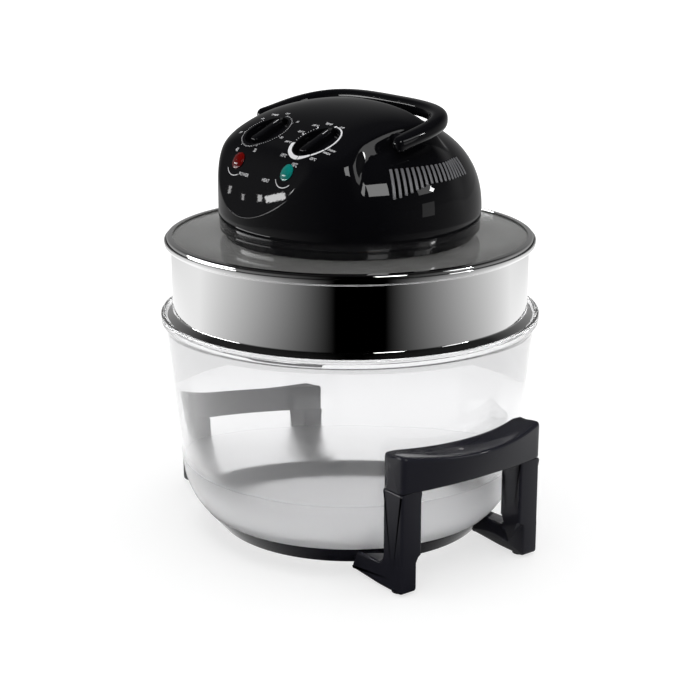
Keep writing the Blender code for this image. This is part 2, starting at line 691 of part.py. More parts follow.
def make_grip(name, side, body):
    """A side grip that closes the loop over its two uprights."""
    bm = bmesh.new()
    shares = [2 * i / (GRIP_STATIONS - 1) - 1 for i in range(GRIP_STATIONS)]
    loft(bm, [grip_ring(side, share) for share in shares])
    grip = add(name, bm, STAND_BLACK, body)
    holes = bmesh.new()
    for end in (-1, 1):
        x, y = grip_stud_place(side, end)
        low, high = (x, y, SEAM_Z - CUT_OVERRUN), (x, y, SEAM_Z + GRIP_STUD_DEPTH)
        rod(holes, GRIP_STUD_R + SEAT_GAP, low, high, SCREW_STEPS)
    combine(grip, helper(name + "_holes", holes, body), "DIFFERENCE")
    return grip


def make_grip_studs(body):
    """Steel studs, blind in the uprights and in the grips."""
    low = SEAM_Z - GRIP_STUD_DEPTH + SEAT_GAP
    high = SEAM_Z + GRIP_STUD_DEPTH - SEAT_GAP
    for corner, side, end in CORNERS:
        bm = bmesh.new()
        x, y = grip_stud_place(side, end)
        rod(bm, GRIP_STUD_R, (x, y, low), (x, y, high), SCREW_STEPS)
        add(corner + "_grip_stud", bm, PRESSED_STEEL, body)


def make_pads(body):
    """Rubber pads under the feet."""
    x = (UPRIGHT_IN_X + UPRIGHT_OUT_X) / 2
    y = (FOOT_IN_Y + UPRIGHT_OUT_Y) / 2
    for corner, side, end in CORNERS:
        bm = bmesh.new()
        rod(bm, PAD_R, (side * x, end * y, 0), (side * x, end * y, FOOT_Z - SEAT_GAP))
        add(corner + "_foot_pad", bm, RUBBER, body)


def make_extender(body):
    """Sheet ring: a cup at the top for the lid's rim, a plain wall, and a sloped lip on the bowl's ledge."""
    lip_z = LEDGE_Z + SEAT_GAP
    path = [
        (EXTENDER_CUP_R - SHEET, EXTENDER_TOP_Z),
        (EXTENDER_CUP_R - SHEET, CUP_FLOOR_Z + SHEET),
        (EXTENDER_R + SHEET, CUP_FLOOR_Z + SHEET),
        (EXTENDER_R - SHEET, CUP_FLOOR_Z - SHEET),
        (EXTENDER_R - SHEET, lip_z + SHEET + EXTENDER_SLOPE + SHEET),
        (EXTENDER_R + SHEET, lip_z + SHEET + EXTENDER_SLOPE - SHEET),
        (EXTENDER_LIP_R - SHEET, lip_z + SHEET),
        (EXTENDER_LIP_R - SHEET, lip_z),
    ]
    return add("extender_ring", turned(sheet(path, SHEET)), POLISHED_STEEL, body)


def make_lid_glass(body):
    """Flat glass ring, a little raised at its hole."""
    middle_r = (LID_HOLE_R + LID_GLASS_R) / 2
    middle = (middle_r, GLASS_UNDER_Z + LID_RISE * LID_MIDDLE_SHARE)
    under = [(LID_GLASS_R, GLASS_UNDER_Z), middle, (LID_HOLE_R, HOLE_UNDER_Z)]
    top = [(radius, height + GLASS_THICK) for radius, height in reversed(under)]
    return add("lid_glass", turned(under + top), SMOKED_GLASS, body)


def make_lid_rim(body):
    """Steel band folded round the glass edge."""
    edge_r = LID_RIM_R - LID_RIM_SHEET
    top_z = GLASS_TOP_Z + SEAT_GAP
    path = [
        (LID_RIM_R - LID_RIM_LIP, GLASS_UNDER_Z - SEAT_GAP),
        (edge_r, GLASS_UNDER_Z - SEAT_GAP),
        (edge_r, top_z),
        (LID_RIM_R - LID_RIM_LIP, top_z + LID_RIM_SHEET / 2),
    ]
    return add("lid_rim", turned(sheet(path, -LID_RIM_SHEET)), POLISHED_STEEL, body)


def make_gasket(body):
    high = HOLE_UNDER_Z - SEAT_GAP
    profile = [
        (LID_HOLE_R + SEAT_GAP, high - GASKET_THICK),
        (GASKET_R, high - GASKET_THICK),
        (GASKET_R, high),
        (LID_HOLE_R + SEAT_GAP, high),
    ]
    return add("lid_gasket", turned(profile, DRUM_STEPS), SILICONE, body)


def pan_screw_places():
    turns = [2 * pi * (i + 0.5) / PAN_SCREW_COUNT for i in range(PAN_SCREW_COUNT)]
    radius = SPIGOT_R - SPIGOT_WALL / 2
    return [(radius * cos(turn), radius * sin(turn)) for turn in turns]


def make_collar(body):
    """The head's lower collar: a floor on the glass, a spigot in its hole, a wall and the cover's flange."""
    inner_r = SPIGOT_R - SPIGOT_WALL
    profile = [
        (inner_r, COLLAR_FOOT_Z - SPIGOT_DEPTH),
        (SPIGOT_R, COLLAR_FOOT_Z - SPIGOT_DEPTH),
        (SPIGOT_R, COLLAR_FOOT_Z),
        (COLLAR_R, COLLAR_FOOT_Z),
        (COLLAR_R, COLLAR_FLANGE_Z),
        (HEAD_FOOT_R, COLLAR_FLANGE_Z + SEAT_GAP),
        (HEAD_FOOT_R, COLLAR_TOP_Z),
        (COLLAR_R - COLLAR_WALL, COLLAR_TOP_Z),
        (COLLAR_R - COLLAR_WALL, COLLAR_FLOOR_Z),
        (inner_r, COLLAR_FLOOR_Z),
    ]
    collar = add("head_base", turned(profile), GLOSS_BLACK, body)
    holes = bmesh.new()
    low = COLLAR_FOOT_Z - SPIGOT_DEPTH - CUT_OVERRUN
    high = FLANGE_UNDER_Z + PAN_SCREW_LENGTH
    for x, y in pan_screw_places():
        rod(holes, PAN_SCREW_R + SEAT_GAP, (x, y, low), (x, y, high), SCREW_STEPS)
    combine(collar, helper("collar_holes", holes, body), "DIFFERENCE")
    return collar


def vent_cut(body):
    """Slots in both shoulders. The front ones reach lower, and the rest share one low edge."""
    bm = bmesh.new()
    reach = HEAD_R - RIDGE_X + 2 * CUT_OVERRUN
    radius = RIDGE_X - CUT_OVERRUN + reach / 2
    top = HEAD_SPRING_Z + VENT_TOP_RISE
    for side in (0, 1):
        for i in range(VENT_COUNT):
            turn = VENT_FIRST + VENT_PITCH * i
            ramp = min(i / VENT_RAMP_COUNT, 1)
            low = HEAD_SPRING_Z + VENT_LOW_RISE + (VENT_HIGH_RISE - VENT_LOW_RISE) * ramp
            centre = Vector((radius * cos(turn), radius * sin(turn), (low + top) / 2))
            heading = turn
            if side:
                centre.x = -centre.x
                heading = pi - turn
            box(bm, (reach, VENT_WIDTH, top - low), centre, Matrix.Rotation(heading, 4, "Z"))
    return helper("vent_slots", bm, body)


def panel_cut(body):
    """The spindles' holes in the wells' floors, the lenses' holes and the inlet's window at the rear."""
    bm = bmesh.new()
    for side in (-1, 1):
        low, high = dial_point(side, CONTROL_TOP), dial_point(side, CUT_OVERRUN - WELL_DEPTH)
        rod(bm, SPINDLE_R + RUNNING_GAP, low, high)
        low, high = lamp_point(side, -HEAD_WALL - CUT_OVERRUN), lamp_point(side, CUT_OVERRUN)
        rod(bm, LAMP_R + RUNNING_GAP, low, high)
    width, depth, height = INLET_SIZE
    window = (width + 2 * SEAT_GAP, depth + 2 * CUT_OVERRUN, height + 2 * SEAT_GAP)
    box(bm, window, (0, HEAD_R - HEAD_WALL, INLET_Z))
    return helper("panel_holes", bm, body)


def well_guide(name, radius, low, high, body):
    """Two drums on the dials' axes: the cups round the knobs' wells, or the space in them."""
    bm = bmesh.new()
    for side in (-1, 1):
        rod(bm, radius, dial_point(side, low), dial_point(side, high), KNOB_STEPS)
    return helper(name, bm, body)


def pin_cut(body):
    """Holes for the handle's pivot pins, in the cheeks of the raised block."""
    bm = bmesh.new()
    for side in (-1, 1):
        start = (side * (RIDGE_X - PIVOT_REACH - CUT_OVERRUN), PIVOT_Y, PIVOT_Z)
        end = (side * (RIDGE_X + RIDGE_WIDTH + CUT_OVERRUN), PIVOT_Y, PIVOT_Z)
        rod(bm, PIVOT_R + RUNNING_GAP, start, end)
    return helper("pivot_holes", bm, body)


def straight_sided(turn, half_width, front_share):
    """The reach from the axis to a rounded outline with two straight sides, which the cover follows."""
    return smooth_min(HEAD_R * front_share, half_width / max(abs(cos(turn)), WELD), RIDGE_WIDTH)


def make_cover(body):
    """The head's upper shell: a skin over the head's height, then a wall inwards, then the openings."""
    bm = bmesh.new()
    turns = [2 * pi * (i + 0.5) / HEAD_STEPS for i in range(HEAD_STEPS)]
    rings = [[(HEAD_FOOT_R * cos(turn), HEAD_FOOT_R * sin(turn), COVER_FOOT_Z) for turn in turns]]
    crease = [straight_sided(turn, RIDGE_X + RIDGE_WIDTH, SHOULDER_FRONT_SHARE) for turn in turns]
    ridge = [straight_sided(turn, RIDGE_X, BLOCK_FRONT_SHARE) for turn in turns]
    reaches = [[low + (HEAD_R - low) * share for low in crease] for share in SHOULDER_RING_SHARES]
    reaches += [[high * share for high in ridge] for share in BLOCK_RING_SHARES]
    for reach in reaches:
        places = [(radius * cos(turn), radius * sin(turn)) for radius, turn in zip(reach, turns)]
        rings.append([(x, y, head_height(x, y)) for x, y in places])
    made = [[bm.verts.new(point) for point in ring] for ring in rings]
    for low, high in zip(made, made[1:]):
        for i in range(HEAD_STEPS):
            j = (i + 1) % HEAD_STEPS
            bm.faces.new((low[i], low[j], high[j], high[i]))
    apex = bm.verts.new((0, 0, head_height(0, 0)))
    for i in range(HEAD_STEPS):
        bm.faces.new((made[-1][i], made[-1][(i + 1) % HEAD_STEPS], apex))
    cover = add("head_cover", bm, GLOSS_BLACK, body)
    shell = cover.modifiers.new("wall", "SOLIDIFY")
    shell.thickness = HEAD_WALL
    shell.offset = -1
    shell.use_even_offset = False
    cups = well_guide("well_cups", WELL_R + WELL_WALL, -WELL_DEPTH - WELL_WALL, -WELL_TOP_DROP, body)
    combine(cover, cups, "UNION")
    combine(cover, well_guide("well_space", WELL_R, -WELL_DEPTH, CUT_OVERRUN, body), "DIFFERENCE")
    combine(cover, vent_cut(body), "DIFFERENCE")
    combine(cover, panel_cut(body), "DIFFERENCE")
    combine(cover, pin_cut(body), "DIFFERENCE")
    return cover


def handle_point(turn):
    """The carry handle's centre line: half a superellipse from the right arm's end round to the left one."""
    across = cos(turn)
    back = sin(turn) ** (2 / HANDLE_POWER) if sin(turn) > WELD else 0
    x = HANDLE_X * abs(across) ** (2 / HANDLE_POWER) * (1 if across > 0 else -1)
    y = HANDLE_FRONT_Y + (HANDLE_GRIP_Y - HANDLE_FRONT_Y) * back
    z = HANDLE_FRONT_Z + (HANDLE_GRIP_Z - HANDLE_FRONT_Z) * back
    return Vector((x, y, z))


def handle_section(centre, along):
    """An eight-sided section across the handle, with flattened corners."""
    up = Vector((0, 0, 1))
    side = along.cross(up).normalized()
    rise = side.cross(along).normalized()
    corner = pi / HANDLE_SIDES
    share = 1 / cos(corner)
    points = []
    for i in range(HANDLE_SIDES):
        turn = corner + 2 * corner * i
        a = side * cos(turn) * share * HANDLE_WIDTH / 2
        b = rise * sin(turn) * share * HANDLE_HEIGHT / 2
        points.append(centre + a + b)
    return points


def make_handle(body):
    """U-shaped carry handle that folds down round the back of the block."""
    turns = [pi * i / (HANDLE_STATIONS - 1) for i in range(HANDLE_STATIONS)]
    line = [handle_point(turn) for turn in turns]
    rings = []
    for i, point in enumerate(line):
        along = line[min(i + 1, len(line) - 1)] - line[max(i - 1, 0)]
        rings.append(handle_section(point, along))
    bm = bmesh.new()
    loft(bm, rings)
    handle = add("carry_handle", bm, GLOSS_BLACK, body)
    bores = bmesh.new()
    for side in (-1, 1):
        start = (side * (HANDLE_X - HANDLE_WIDTH), PIVOT_Y, PIVOT_Z)
        end = (side * (HANDLE_X - HANDLE_WIDTH / 2 + PIVOT_GRIP), PIVOT_Y, PIVOT_Z)
        rod(bores, PIVOT_R + SEAT_GAP, start, end)
    combine(handle, helper("handle_bores", bores, body), "DIFFERENCE")
    return handle


def make_pivot_pin(name, side, body):
    """A headed pin, fast in the handle's arm and turning in the cheek."""
    inner = side * (RIDGE_X - PIVOT_REACH)
    outer = side * (HANDLE_X - HANDLE_WIDTH / 2 + PIVOT_GRIP - SEAT_GAP)
    bm = bmesh.new()
    rod(bm, PIVOT_R, (inner, PIVOT_Y, PIVOT_Z), (outer, PIVOT_Y, PIVOT_Z))
    return add(name, bm, PRESSED_STEEL, body)


def make_knob(name, side, body):
    """A round skirt with a tapered bar across it, one moulding with a bore for the spindle."""
    frame = Matrix.Translation(dial_point(side, -WELL_DEPTH)) @ DIAL_TILT
    low = KNOB_LIFT
    skirt = [
        (0, low),
        (KNOB_R, low),
        (KNOB_R, low + KNOB_SKIRT / 2),
        (KNOB_R - KNOB_SKIRT / 3, low + KNOB_SKIRT),
        (0, low + KNOB_SKIRT),
    ]
    bm = turned(skirt, KNOB_STEPS, closed=False)
    bmesh.ops.transform(bm, matrix=frame, verts=bm.verts)
    knob = add(name, bm, GLOSS_BLACK, body)
    bar = bmesh.new()
    top = low + KNOB_SKIRT + KNOB_BAR_HEIGHT
    reach = KNOB_R - KNOB_BAR_TAPER
    half = KNOB_BAR_WIDTH / 2
    rings = []
    corner = KNOB_BAR_TAPER
    for level, draw in ((low + KNOB_SKIRT / 2, 0), (top - corner, corner / 2), (top, corner)):
        a, b = half - draw, reach - draw
        outline = [
            (a, b - corner),
            (a - corner, b),
            (corner - a, b),
            (-a, b - corner),
            (-a, corner - b),
            (corner - a, -b),
            (a - corner, -b),
            (a, corner - b),
        ]
        rings.append([(x, y, level) for x, y in outline])
    loft(bar, rings)
    bmesh.ops.transform(bar, matrix=frame, verts=bar.verts)
    combine(knob, helper(name + "_bar", bar, body), "UNION")
    bore = bmesh.new()
    rod(bore, SPINDLE_R + SEAT_GAP, (0, 0, low - CUT_OVERRUN), (0, 0, low + KNOB_SKIRT + SPINDLE_R))
    bmesh.ops.transform(bore, matrix=frame, verts=bore.verts)
    combine(knob, helper(name + "_bore", bore, body), "DIFFERENCE")
    return knob


def make_spindle(name, side, body):
    """The control's spindle, from inside the cover up into the knob."""
    low = dial_point(side, CONTROL_TOP + SEAT_GAP)
    high = dial_point(side, KNOB_LIFT + KNOB_SKIRT + SPINDLE_R - WELL_DEPTH - SEAT_GAP)
    bm = bmesh.new()
    rod(bm, SPINDLE_R, low, high)
    return add(name, bm, BRASS, body)


def make_lens(name, side, finish, body):
    """A domed lens through the panel with a flange on it."""
    frame = Matrix.Translation(lamp_point(side)) @ LAMP_TILT
    flange_low = SEAT_GAP
    flange_high = flange_low + LAMP_FLANGE
    profile = [
        (0, -HEAD_WALL),
        (LAMP_R, -HEAD_WALL),
        (LAMP_R, flange_low),
        (LAMP_R + LAMP_FLANGE_WIDTH, flange_low),
        (LAMP_R + LAMP_FLANGE_WIDTH, flange_high),
        (LAMP_R, flange_high + LAMP_FLANGE),
        (LAMP_R / 2, LAMP_PROUD),
        (0, LAMP_PROUD + LAMP_FLANGE / 2),
    ]
    bm = turned(profile, SMALL_STEPS, closed=False)
    bmesh.ops.transform(bm, matrix=frame, verts=bm.verts)
    return add(name, bm, finish, body)


def make_lamp_body(name, side, body):
    """The neon holder behind a lens."""
    high = lamp_point(side, -HEAD_WALL - SEAT_GAP)
    low = lamp_point(side, -HEAD_WALL - SEAT_GAP - LAMP_BODY_LENGTH)
    bm = bmesh.new()
    rod(bm, LAMP_R, low, high)
    return add(name, bm, CREAM_PLASTIC, body)


def make_timer(body):
    """The clockwork box behind the timer knob."""
    depth = TIMER_SIZE[2]
    centre = dial_point(-1, CONTROL_TOP - depth / 2)
    bm = bmesh.new()
    box(bm, TIMER_SIZE, centre, DIAL_TILT)
    return add("timer_mechanism", bm, CREAM_PLASTIC, body)


def make_thermostat(body):
    """The round thermostat body behind the temperature knob."""
    high = dial_point(1, CONTROL_TOP)
    low = dial_point(1, CONTROL_TOP - THERMOSTAT_DEPTH)
    bm = bmesh.new()
    rod(bm, THERMOSTAT_R, low, high, DRUM_STEPS)
    return add("thermostat_body", bm, PRESSED_STEEL, body)


def bulb_place():
    return BULB_RADIUS * cos(BULB_ANGLE), BULB_RADIUS * sin(BULB_ANGLE)


def make_pan(body):
    """The heater pan: a flange under the gasket and a recess up through the lid's hole."""
    outline = [
        (PAN_FLANGE_R, FLANGE_UNDER_Z),
        (PAN_FLANGE_R, FLANGE_TOP_Z),
        (PAN_WALL_R, FLANGE_TOP_Z),
        (PAN_WALL_R, PAN_TOP_Z),
        (PAN_HOLE_R, PAN_TOP_Z),
        (PAN_HOLE_R, PAN_TOP_Z - PAN_SHEET),
        (PAN_WALL_R - PAN_SHEET, PAN_TOP_Z - PAN_SHEET),
        (PAN_WALL_R - PAN_SHEET, FLANGE_UNDER_Z),
    ]
    pan = add("heater_pan", turned(outline), PRESSED_STEEL, body)
    holes = bmesh.new()
    for x, y in pan_screw_places():
        low = (x, y, FLANGE_UNDER_Z - CUT_OVERRUN)
        rod(holes, PAN_SCREW_R + SEAT_GAP, low, (x, y, FLANGE_TOP_Z + SEAT_GAP), SCREW_STEPS)
    x, y = bulb_place()
    low, high = (x, y, PAN_TOP_Z - CUT_OVERRUN), (x, y, PAN_TOP_Z + CUT_OVERRUN)
    rod(holes, CAPILLARY_R + SEAT_GAP, low, high, SCREW_STEPS)
    combine(pan, helper("pan_holes", holes, body), "DIFFERENCE")
    return pan


def make_pan_screws(body):
    """The screws that clamp the pan, gasket and glass to the collar."""
    head_top = FLANGE_UNDER_Z - SEAT_GAP
    tip = FLANGE_UNDER_Z + PAN_SCREW_LENGTH - SEAT_GAP
    profile = [
        (0, head_top - PAN_SCREW_HEAD),
        (PAN_SCREW_HEAD_R, head_top - PAN_SCREW_HEAD),
        (PAN_SCREW_HEAD_R, head_top),
        (PAN_SCREW_R, head_top),
        (PAN_SCREW_R, tip),
        (0, tip),
    ]
    for number, (x, y) in enumerate(pan_screw_places(), 1):
        bm = turned(profile, SCREW_STEPS, closed=False)
        bmesh.ops.translate(bm, verts=bm.verts, vec=(x, y, 0))
        add(f"pan_screw_{number}", bm, PRESSED_STEEL, body)


def make_halogen_lamp(body):
    """An open quartz ring whose two ends turn up to the sockets."""
    rise = PAN_TOP_Z - PAN_SHEET - SEAT_GAP - SOCKET_SIZE[2] - SEAT_GAP
    turns = [LAMP_OPEN + (2 * pi - 2 * LAMP_OPEN) * i / LAMP_TURNS for i in range(LAMP_TURNS + 1)]
    path = [Vector((LAMP_RING_R * cos(t), LAMP_RING_R * sin(t), LAMP_RING_Z)) for t in turns]
    path = [Vector((path[0].x, path[0].y, rise))] + path + [Vector((path[-1].x, path[-1].y, rise))]
    rings = []
    for i, point in enumerate(path):
        before = point - path[i - 1] if i else path[1] - point
        after = path[i + 1] - point if i < len(path) - 1 else before
        along = (before.normalized() + after.normalized()).normalized()
        outward = Vector((point.x, point.y, 0)).normalized()
        across = outward.cross(along).normalized()
        stretch = 1 / max(along.dot(after.normalized()), cos(pi / 4))
        ring = []
        for k in range(TUBE_SIDES):
            turn = 2 * pi * k / TUBE_SIDES
            side = outward * cos(turn) + across * sin(turn) * stretch
            ring.append(point + side * LAMP_TUBE_R)
        rings.append(ring)
    bm = bmesh.new()
    loft(bm, rings)
    return add("halogen_lamp", bm, QUARTZ, body)


def make_socket(name, side, body):
    """A ceramic socket under the pan's top, over one end of the lamp."""
    width, depth, height = SOCKET_SIZE
    high = PAN_TOP_Z - PAN_SHEET - SEAT_GAP
    x = LAMP_RING_R * cos(LAMP_OPEN)
    y = side * LAMP_RING_R * sin(LAMP_OPEN)
    bm = bmesh.new()
    box(bm, (width, depth, height), (x, y, high - height / 2))
    return add(name, bm, CERAMIC, body)


def make_lamp_clips(body):
    """Steel straps that hold the lamp's far side up to the pan."""
    high = PAN_TOP_Z - PAN_SHEET - SEAT_GAP
    low = LAMP_RING_Z + LAMP_TUBE_R + SEAT_GAP
    for name, turn in (("rear_lamp_clip", CLIP_TURN), ("front_lamp_clip", -CLIP_TURN)):
        bm = bmesh.new()
        centre = (LAMP_RING_R * cos(turn), LAMP_RING_R * sin(turn), (high + low) / 2)
        box(bm, (CLIP_WIDTH, CLIP_THICK, high - low), centre, Matrix.Rotation(turn, 4, "Z"))
        add(name, bm, PRESSED_STEEL, body)


def make_shroud(body):
    """The steel wall round the heater, hung under the pan's flange, with a lip that carries the guard."""
    high = FLANGE_UNDER_Z - SEAT_GAP
    inner = SHROUD_R - SHROUD_SHEET
    profile = [
        (SHROUD_R - SHROUD_LIP, GUARD_Z - SHROUD_SHEET - SEAT_GAP),
        (SHROUD_R, GUARD_Z - SHROUD_SHEET - SEAT_GAP),
        (SHROUD_R, high),
        (inner, high),
        (inner, GUARD_Z - SEAT_GAP),
        (SHROUD_R - SHROUD_LIP, GUARD_Z - SEAT_GAP),
    ]
    return add("guard_shroud", turned(profile), PRESSED_STEEL, body)


def make_guard(body):
    """The stamped guard: concentric rings joined by radial bars, in one sheet."""
    outer = SHROUD_R - SHROUD_SHEET - SEAT_GAP
    edges = [outer * GUARD_HUB_SHARE]
    for share in GUARD_RING_SHARES:
        edges += [outer * share, outer * share + GUARD_BAND]
    edges[-1] = outer
    bm = bmesh.new()
    levels = (GUARD_Z, GUARD_Z + GUARD_SHEET)
    made = {}

    def corner(ring, step, level):
        key = (ring, step % ROUND_STEPS, level)
        if key not in made:
            turn = 2 * pi * step / ROUND_STEPS
            made[key] = bm.verts.new((edges[ring] * cos(turn), edges[ring] * sin(turn), levels[level]))
        return made[key]

    def solid(ring, step):
        if ring < 0 or ring >= len(edges) - 1:
            return False
        return ring % 2 == 1 or step % (ROUND_STEPS // GUARD_SPOKES) == 0

    for ring in range(len(edges) - 1):
        for step in range(ROUND_STEPS):
            if not solid(ring, step):
                continue
            for level in (0, 1):
                quad = [corner(ring, step, level), corner(ring + 1, step, level)]
                quad += [corner(ring + 1, step + 1, level), corner(ring, step + 1, level)]
                bm.faces.new(quad)
            walls = (
                (solid(ring - 1, step), (ring, step), (ring, step + 1)),
                (solid(ring + 1, step), (ring + 1, step), (ring + 1, step + 1)),
                (solid(ring, (step - 1) % ROUND_STEPS), (ring, step), (ring + 1, step)),
                (solid(ring, (step + 1) % ROUND_STEPS), (ring, step + 1), (ring + 1, step + 1)),
            )
            for joined, a, b in walls:
                if not joined:
                    bm.faces.new((corner(*a, 0), corner(*b, 0), corner(*b, 1), corner(*a, 1)))
    return add("lamp_guard", bm, PRESSED_STEEL, body)


def make_bulb(body):
    """The thermostat's sensing bulb, under the pan's top."""
    x, y = bulb_place()
    high = PAN_TOP_Z - PAN_SHEET - SEAT_GAP
    bm = bmesh.new()
    rod(bm, BULB_R, (x, y, high - BULB_LENGTH), (x, y, high), SCREW_STEPS)
    return add("thermostat_bulb", bm, COPPER, body)


def make_capillary(body):
    """The capillary tube from the thermostat down through the pan to the bulb, on one smooth curve."""
    x, y = bulb_place()
    lift = CONTROL_TOP - THERMOSTAT_DEPTH - SEAT_GAP - CAPILLARY_R / 2
    start = dial_point(1, lift)
    control = [
        start,
        start - DIAL_NORMAL * THERMOSTAT_R / 2,
        Vector((x * CAPILLARY_BOW_SHARE, y * CAPILLARY_BOW_SHARE, (start.z + PAN_TOP_Z) / 2)),
        Vector((x, y, PAN_TOP_Z + THERMOSTAT_R / 2)),
        Vector((x, y, PAN_TOP_Z - PAN_SHEET)),
    ]
    points = []
    spans = len(control) - 1
    for span in range(spans):
        a = control[max(span - 1, 0)]
        b, c = control[span], control[span + 1]
        d = control[min(span + 2, spans)]
        for i in range(CAPILLARY_STEPS):
            t = i / CAPILLARY_STEPS
            square = 2 * a - 5 * b + 4 * c - d
            cube = 3 * b - a - 3 * c + d
            points.append((2 * b + (c - a) * t + square * t**2 + cube * t**3) / 2)
    points.append(control[-1])
    curve = bpy.data.curves.new("capillary_tube", "CURVE")
    curve.dimensions = "3D"
    curve.bevel_depth = CAPILLARY_R
    curve.bevel_resolution = 1
    curve.use_fill_caps = True
    line = curve.splines.new("POLY")
    line.points.add(len(points) - 1)
    origin = Vector(body["place"])
    for slot, point in zip(line.points, points):
        slot.co = (*(point - origin), 1)
    curve.materials.append(material(COPPER))
    obj = bpy.data.objects.new("capillary_tube", curve)
    bpy.context.collection.objects.link(obj)
    obj.parent = body
    return obj


def make_fan(name, radius, centre_z, height, blades, body):
    """A pressed fan in one piece: a round plate with a hub and pitched blades."""
    bm = bmesh.new()
    plate_z = centre_z + height / 2 - FAN_SHEET
    hub_low = plate_z - HUB_R
    bore = SHAFT_R + SEAT_GAP
    hub = [
        (bore, hub_low),
        (HUB_R, hub_low),
        (HUB_R, plate_z),
        (radius * FAN_DISC_SHARE, plate_z),
        (radius * FAN_DISC_SHARE, plate_z + FAN_SHEET),
        (bore, plate_z + FAN_SHEET),
    ]
    lathe(bm, hub, DRUM_STEPS)
    fan = add(name, bm, PRESSED_STEEL, body)
    vanes = bmesh.new()
    chord = radius * FAN_CHORD_SHARE
    for i in range(blades):
        turn = 2 * pi * i / blades
        middle = radius - chord / 2
        centre = Vector((middle * cos(turn), middle * sin(turn), centre_z))
        aim = Matrix.Rotation(turn, 4, "Z") @ Matrix.Rotation(FAN_PITCH, 4, "X")
        box(vanes, (chord, 2 * FAN_SHEET, height * FAN_VANE_SHARE), centre, aim)
    combine(fan, helper(name + "_vanes", vanes, body), "UNION")
    return fan


def make_shaft(body):
    bm = bmesh.new()
    rod(bm, SHAFT_R, (0, 0, SHAFT_LOW_Z), (0, 0, SHAFT_HIGH_Z))
    return add("fan_shaft", bm, PRESSED_STEEL, body)


def make_rotor(body):
    """The motor's rotor on the shaft."""
    low = STATOR_Z + SEAT_GAP
    high = STATOR_Z + STATOR_SIZE[2] - SEAT_GAP
    bore = SHAFT_R + SEAT_GAP
    profile = [(bore, low), (ROTOR_R, low), (ROTOR_R, high), (bore, high)]
    return add("motor_rotor", turned(profile, DRUM_STEPS), LAMINATIONS, body)


def make_bridge(body):
    """The motor mount: a strip bridge that stands on the collar's floor over the cooling fan."""
    foot_z = COLLAR_FLOOR_Z + SEAT_GAP
    path = [
        (-BRIDGE_X - BRIDGE_FOOT, foot_z),
        (-BRIDGE_X, foot_z),
        (-BRIDGE_X + BRIDGE_FOOT / 2, BRIDGE_Z),
        (BRIDGE_X - BRIDGE_FOOT / 2, BRIDGE_Z),
        (BRIDGE_X, foot_z),
        (BRIDGE_X + BRIDGE_FOOT, foot_z),
    ]
    bm = bmesh.new()
    prism(bm, sheet(path, BRIDGE_SHEET), -BRIDGE_WIDTH / 2, BRIDGE_WIDTH / 2, upright=True)
    bridge = add("motor_mount", bm, PRESSED_STEEL, body)
    hole = bmesh.new()
    rod(hole, HUB_R, (0, 0, BRIDGE_Z - CUT_OVERRUN), (0, 0, BRIDGE_Z + CUT_OVERRUN))
    combine(bridge, helper("bridge_hole", hole, body), "DIFFERENCE")
    return bridge


def make_stator(body):
    """The laminated stack with its bore."""
    width, depth, height = STATOR_SIZE
    bm = bmesh.new()
    box(bm, STATOR_SIZE, (0, 0, STATOR_Z + height / 2))
    stator = add("motor_stator", bm, LAMINATIONS, body)
    bore = bmesh.new()
    low, high = (0, 0, STATOR_Z - CUT_OVERRUN), (0, 0, STATOR_Z + height + CUT_OVERRUN)
    rod(bore, STATOR_BORE_R, low, high, DRUM_STEPS)
    combine(stator, helper("stator_bore", bore, body), "DIFFERENCE")
    return stator


def make_coil(body):
    """The field coil on the stack's rear limb."""
    height = STATOR_SIZE[2]
    bm = bmesh.new()
    x = STATOR_SIZE[0] / 2 + SEAT_GAP + COIL_SIZE[0] / 2
    box(bm, COIL_SIZE, (x, 0, STATOR_Z + height / 2))
    return add("motor_coil", bm, COPPER, body)


def make_bearing_bracket(name, level, way, body):
    """A strip bracket over the stack's bore. It holds one bush, and way is 1 above the stack and -1 below."""
    half = STATOR_SIZE[1] / 2
    step = BRACKET_STEP * way
    path = [
        (-half, level),
        (-half + BRACKET_STEP, level),
        (-half + 2 * BRACKET_STEP, level + step),
        (half - 2 * BRACKET_STEP, level + step),
        (half - BRACKET_STEP, level),
        (half, level),
    ]
    bm = bmesh.new()
    low, high = -BRACKET_WIDTH / 2, BRACKET_WIDTH / 2
    outline = sheet(path, BRACKET_SHEET * way)
    loft(bm, [[(x, y, z) for y, z in outline] for x in (low, high)])
    bracket = add(name, bm, PRESSED_STEEL, body)
    hole = bmesh.new()
    rod(hole, BUSH_R + SEAT_GAP, (0, 0, level - 2 * BRACKET_STEP), (0, 0, level + 2 * BRACKET_STEP))
    combine(bracket, helper(name + "_hole", hole, body), "DIFFERENCE")
    return bracket


def make_bush(name, level, way, body):
    """A bronze bush in a bearing bracket."""
    bore = SHAFT_R + RUNNING_GAP
    start = level + BRACKET_STEP * way
    end = start + BUSH_HEIGHT * way
    low, high = min(start, end), max(start, end)
    profile = [(bore, low), (BUSH_R, low), (BUSH_R, high), (bore, high)]
    return add(name, turned(profile, SMALL_STEPS), BRASS, body)


def make_switch(body):
    """The safety switch that the handle's left pin works, under the cover by the left cheek."""
    bm = bmesh.new()
    x = -(RIDGE_X - PIVOT_REACH - SEAT_GAP - SWITCH_SIZE[0] / 2)
    box(bm, SWITCH_SIZE, (x, PIVOT_Y, PIVOT_Z + SWITCH_LIFT - SWITCH_SIZE[2] / 2))
    return add("safety_switch", bm, CREAM_PLASTIC, body)


def make_terminals(body):
    """The terminal block on the collar's floor at the rear."""
    bm = bmesh.new()
    low = COLLAR_FLOOR_Z + SEAT_GAP
    box(bm, TERMINAL_SIZE, (0, TERMINAL_Y, low + TERMINAL_SIZE[2] / 2))
    return add("terminal_block", bm, CERAMIC, body)


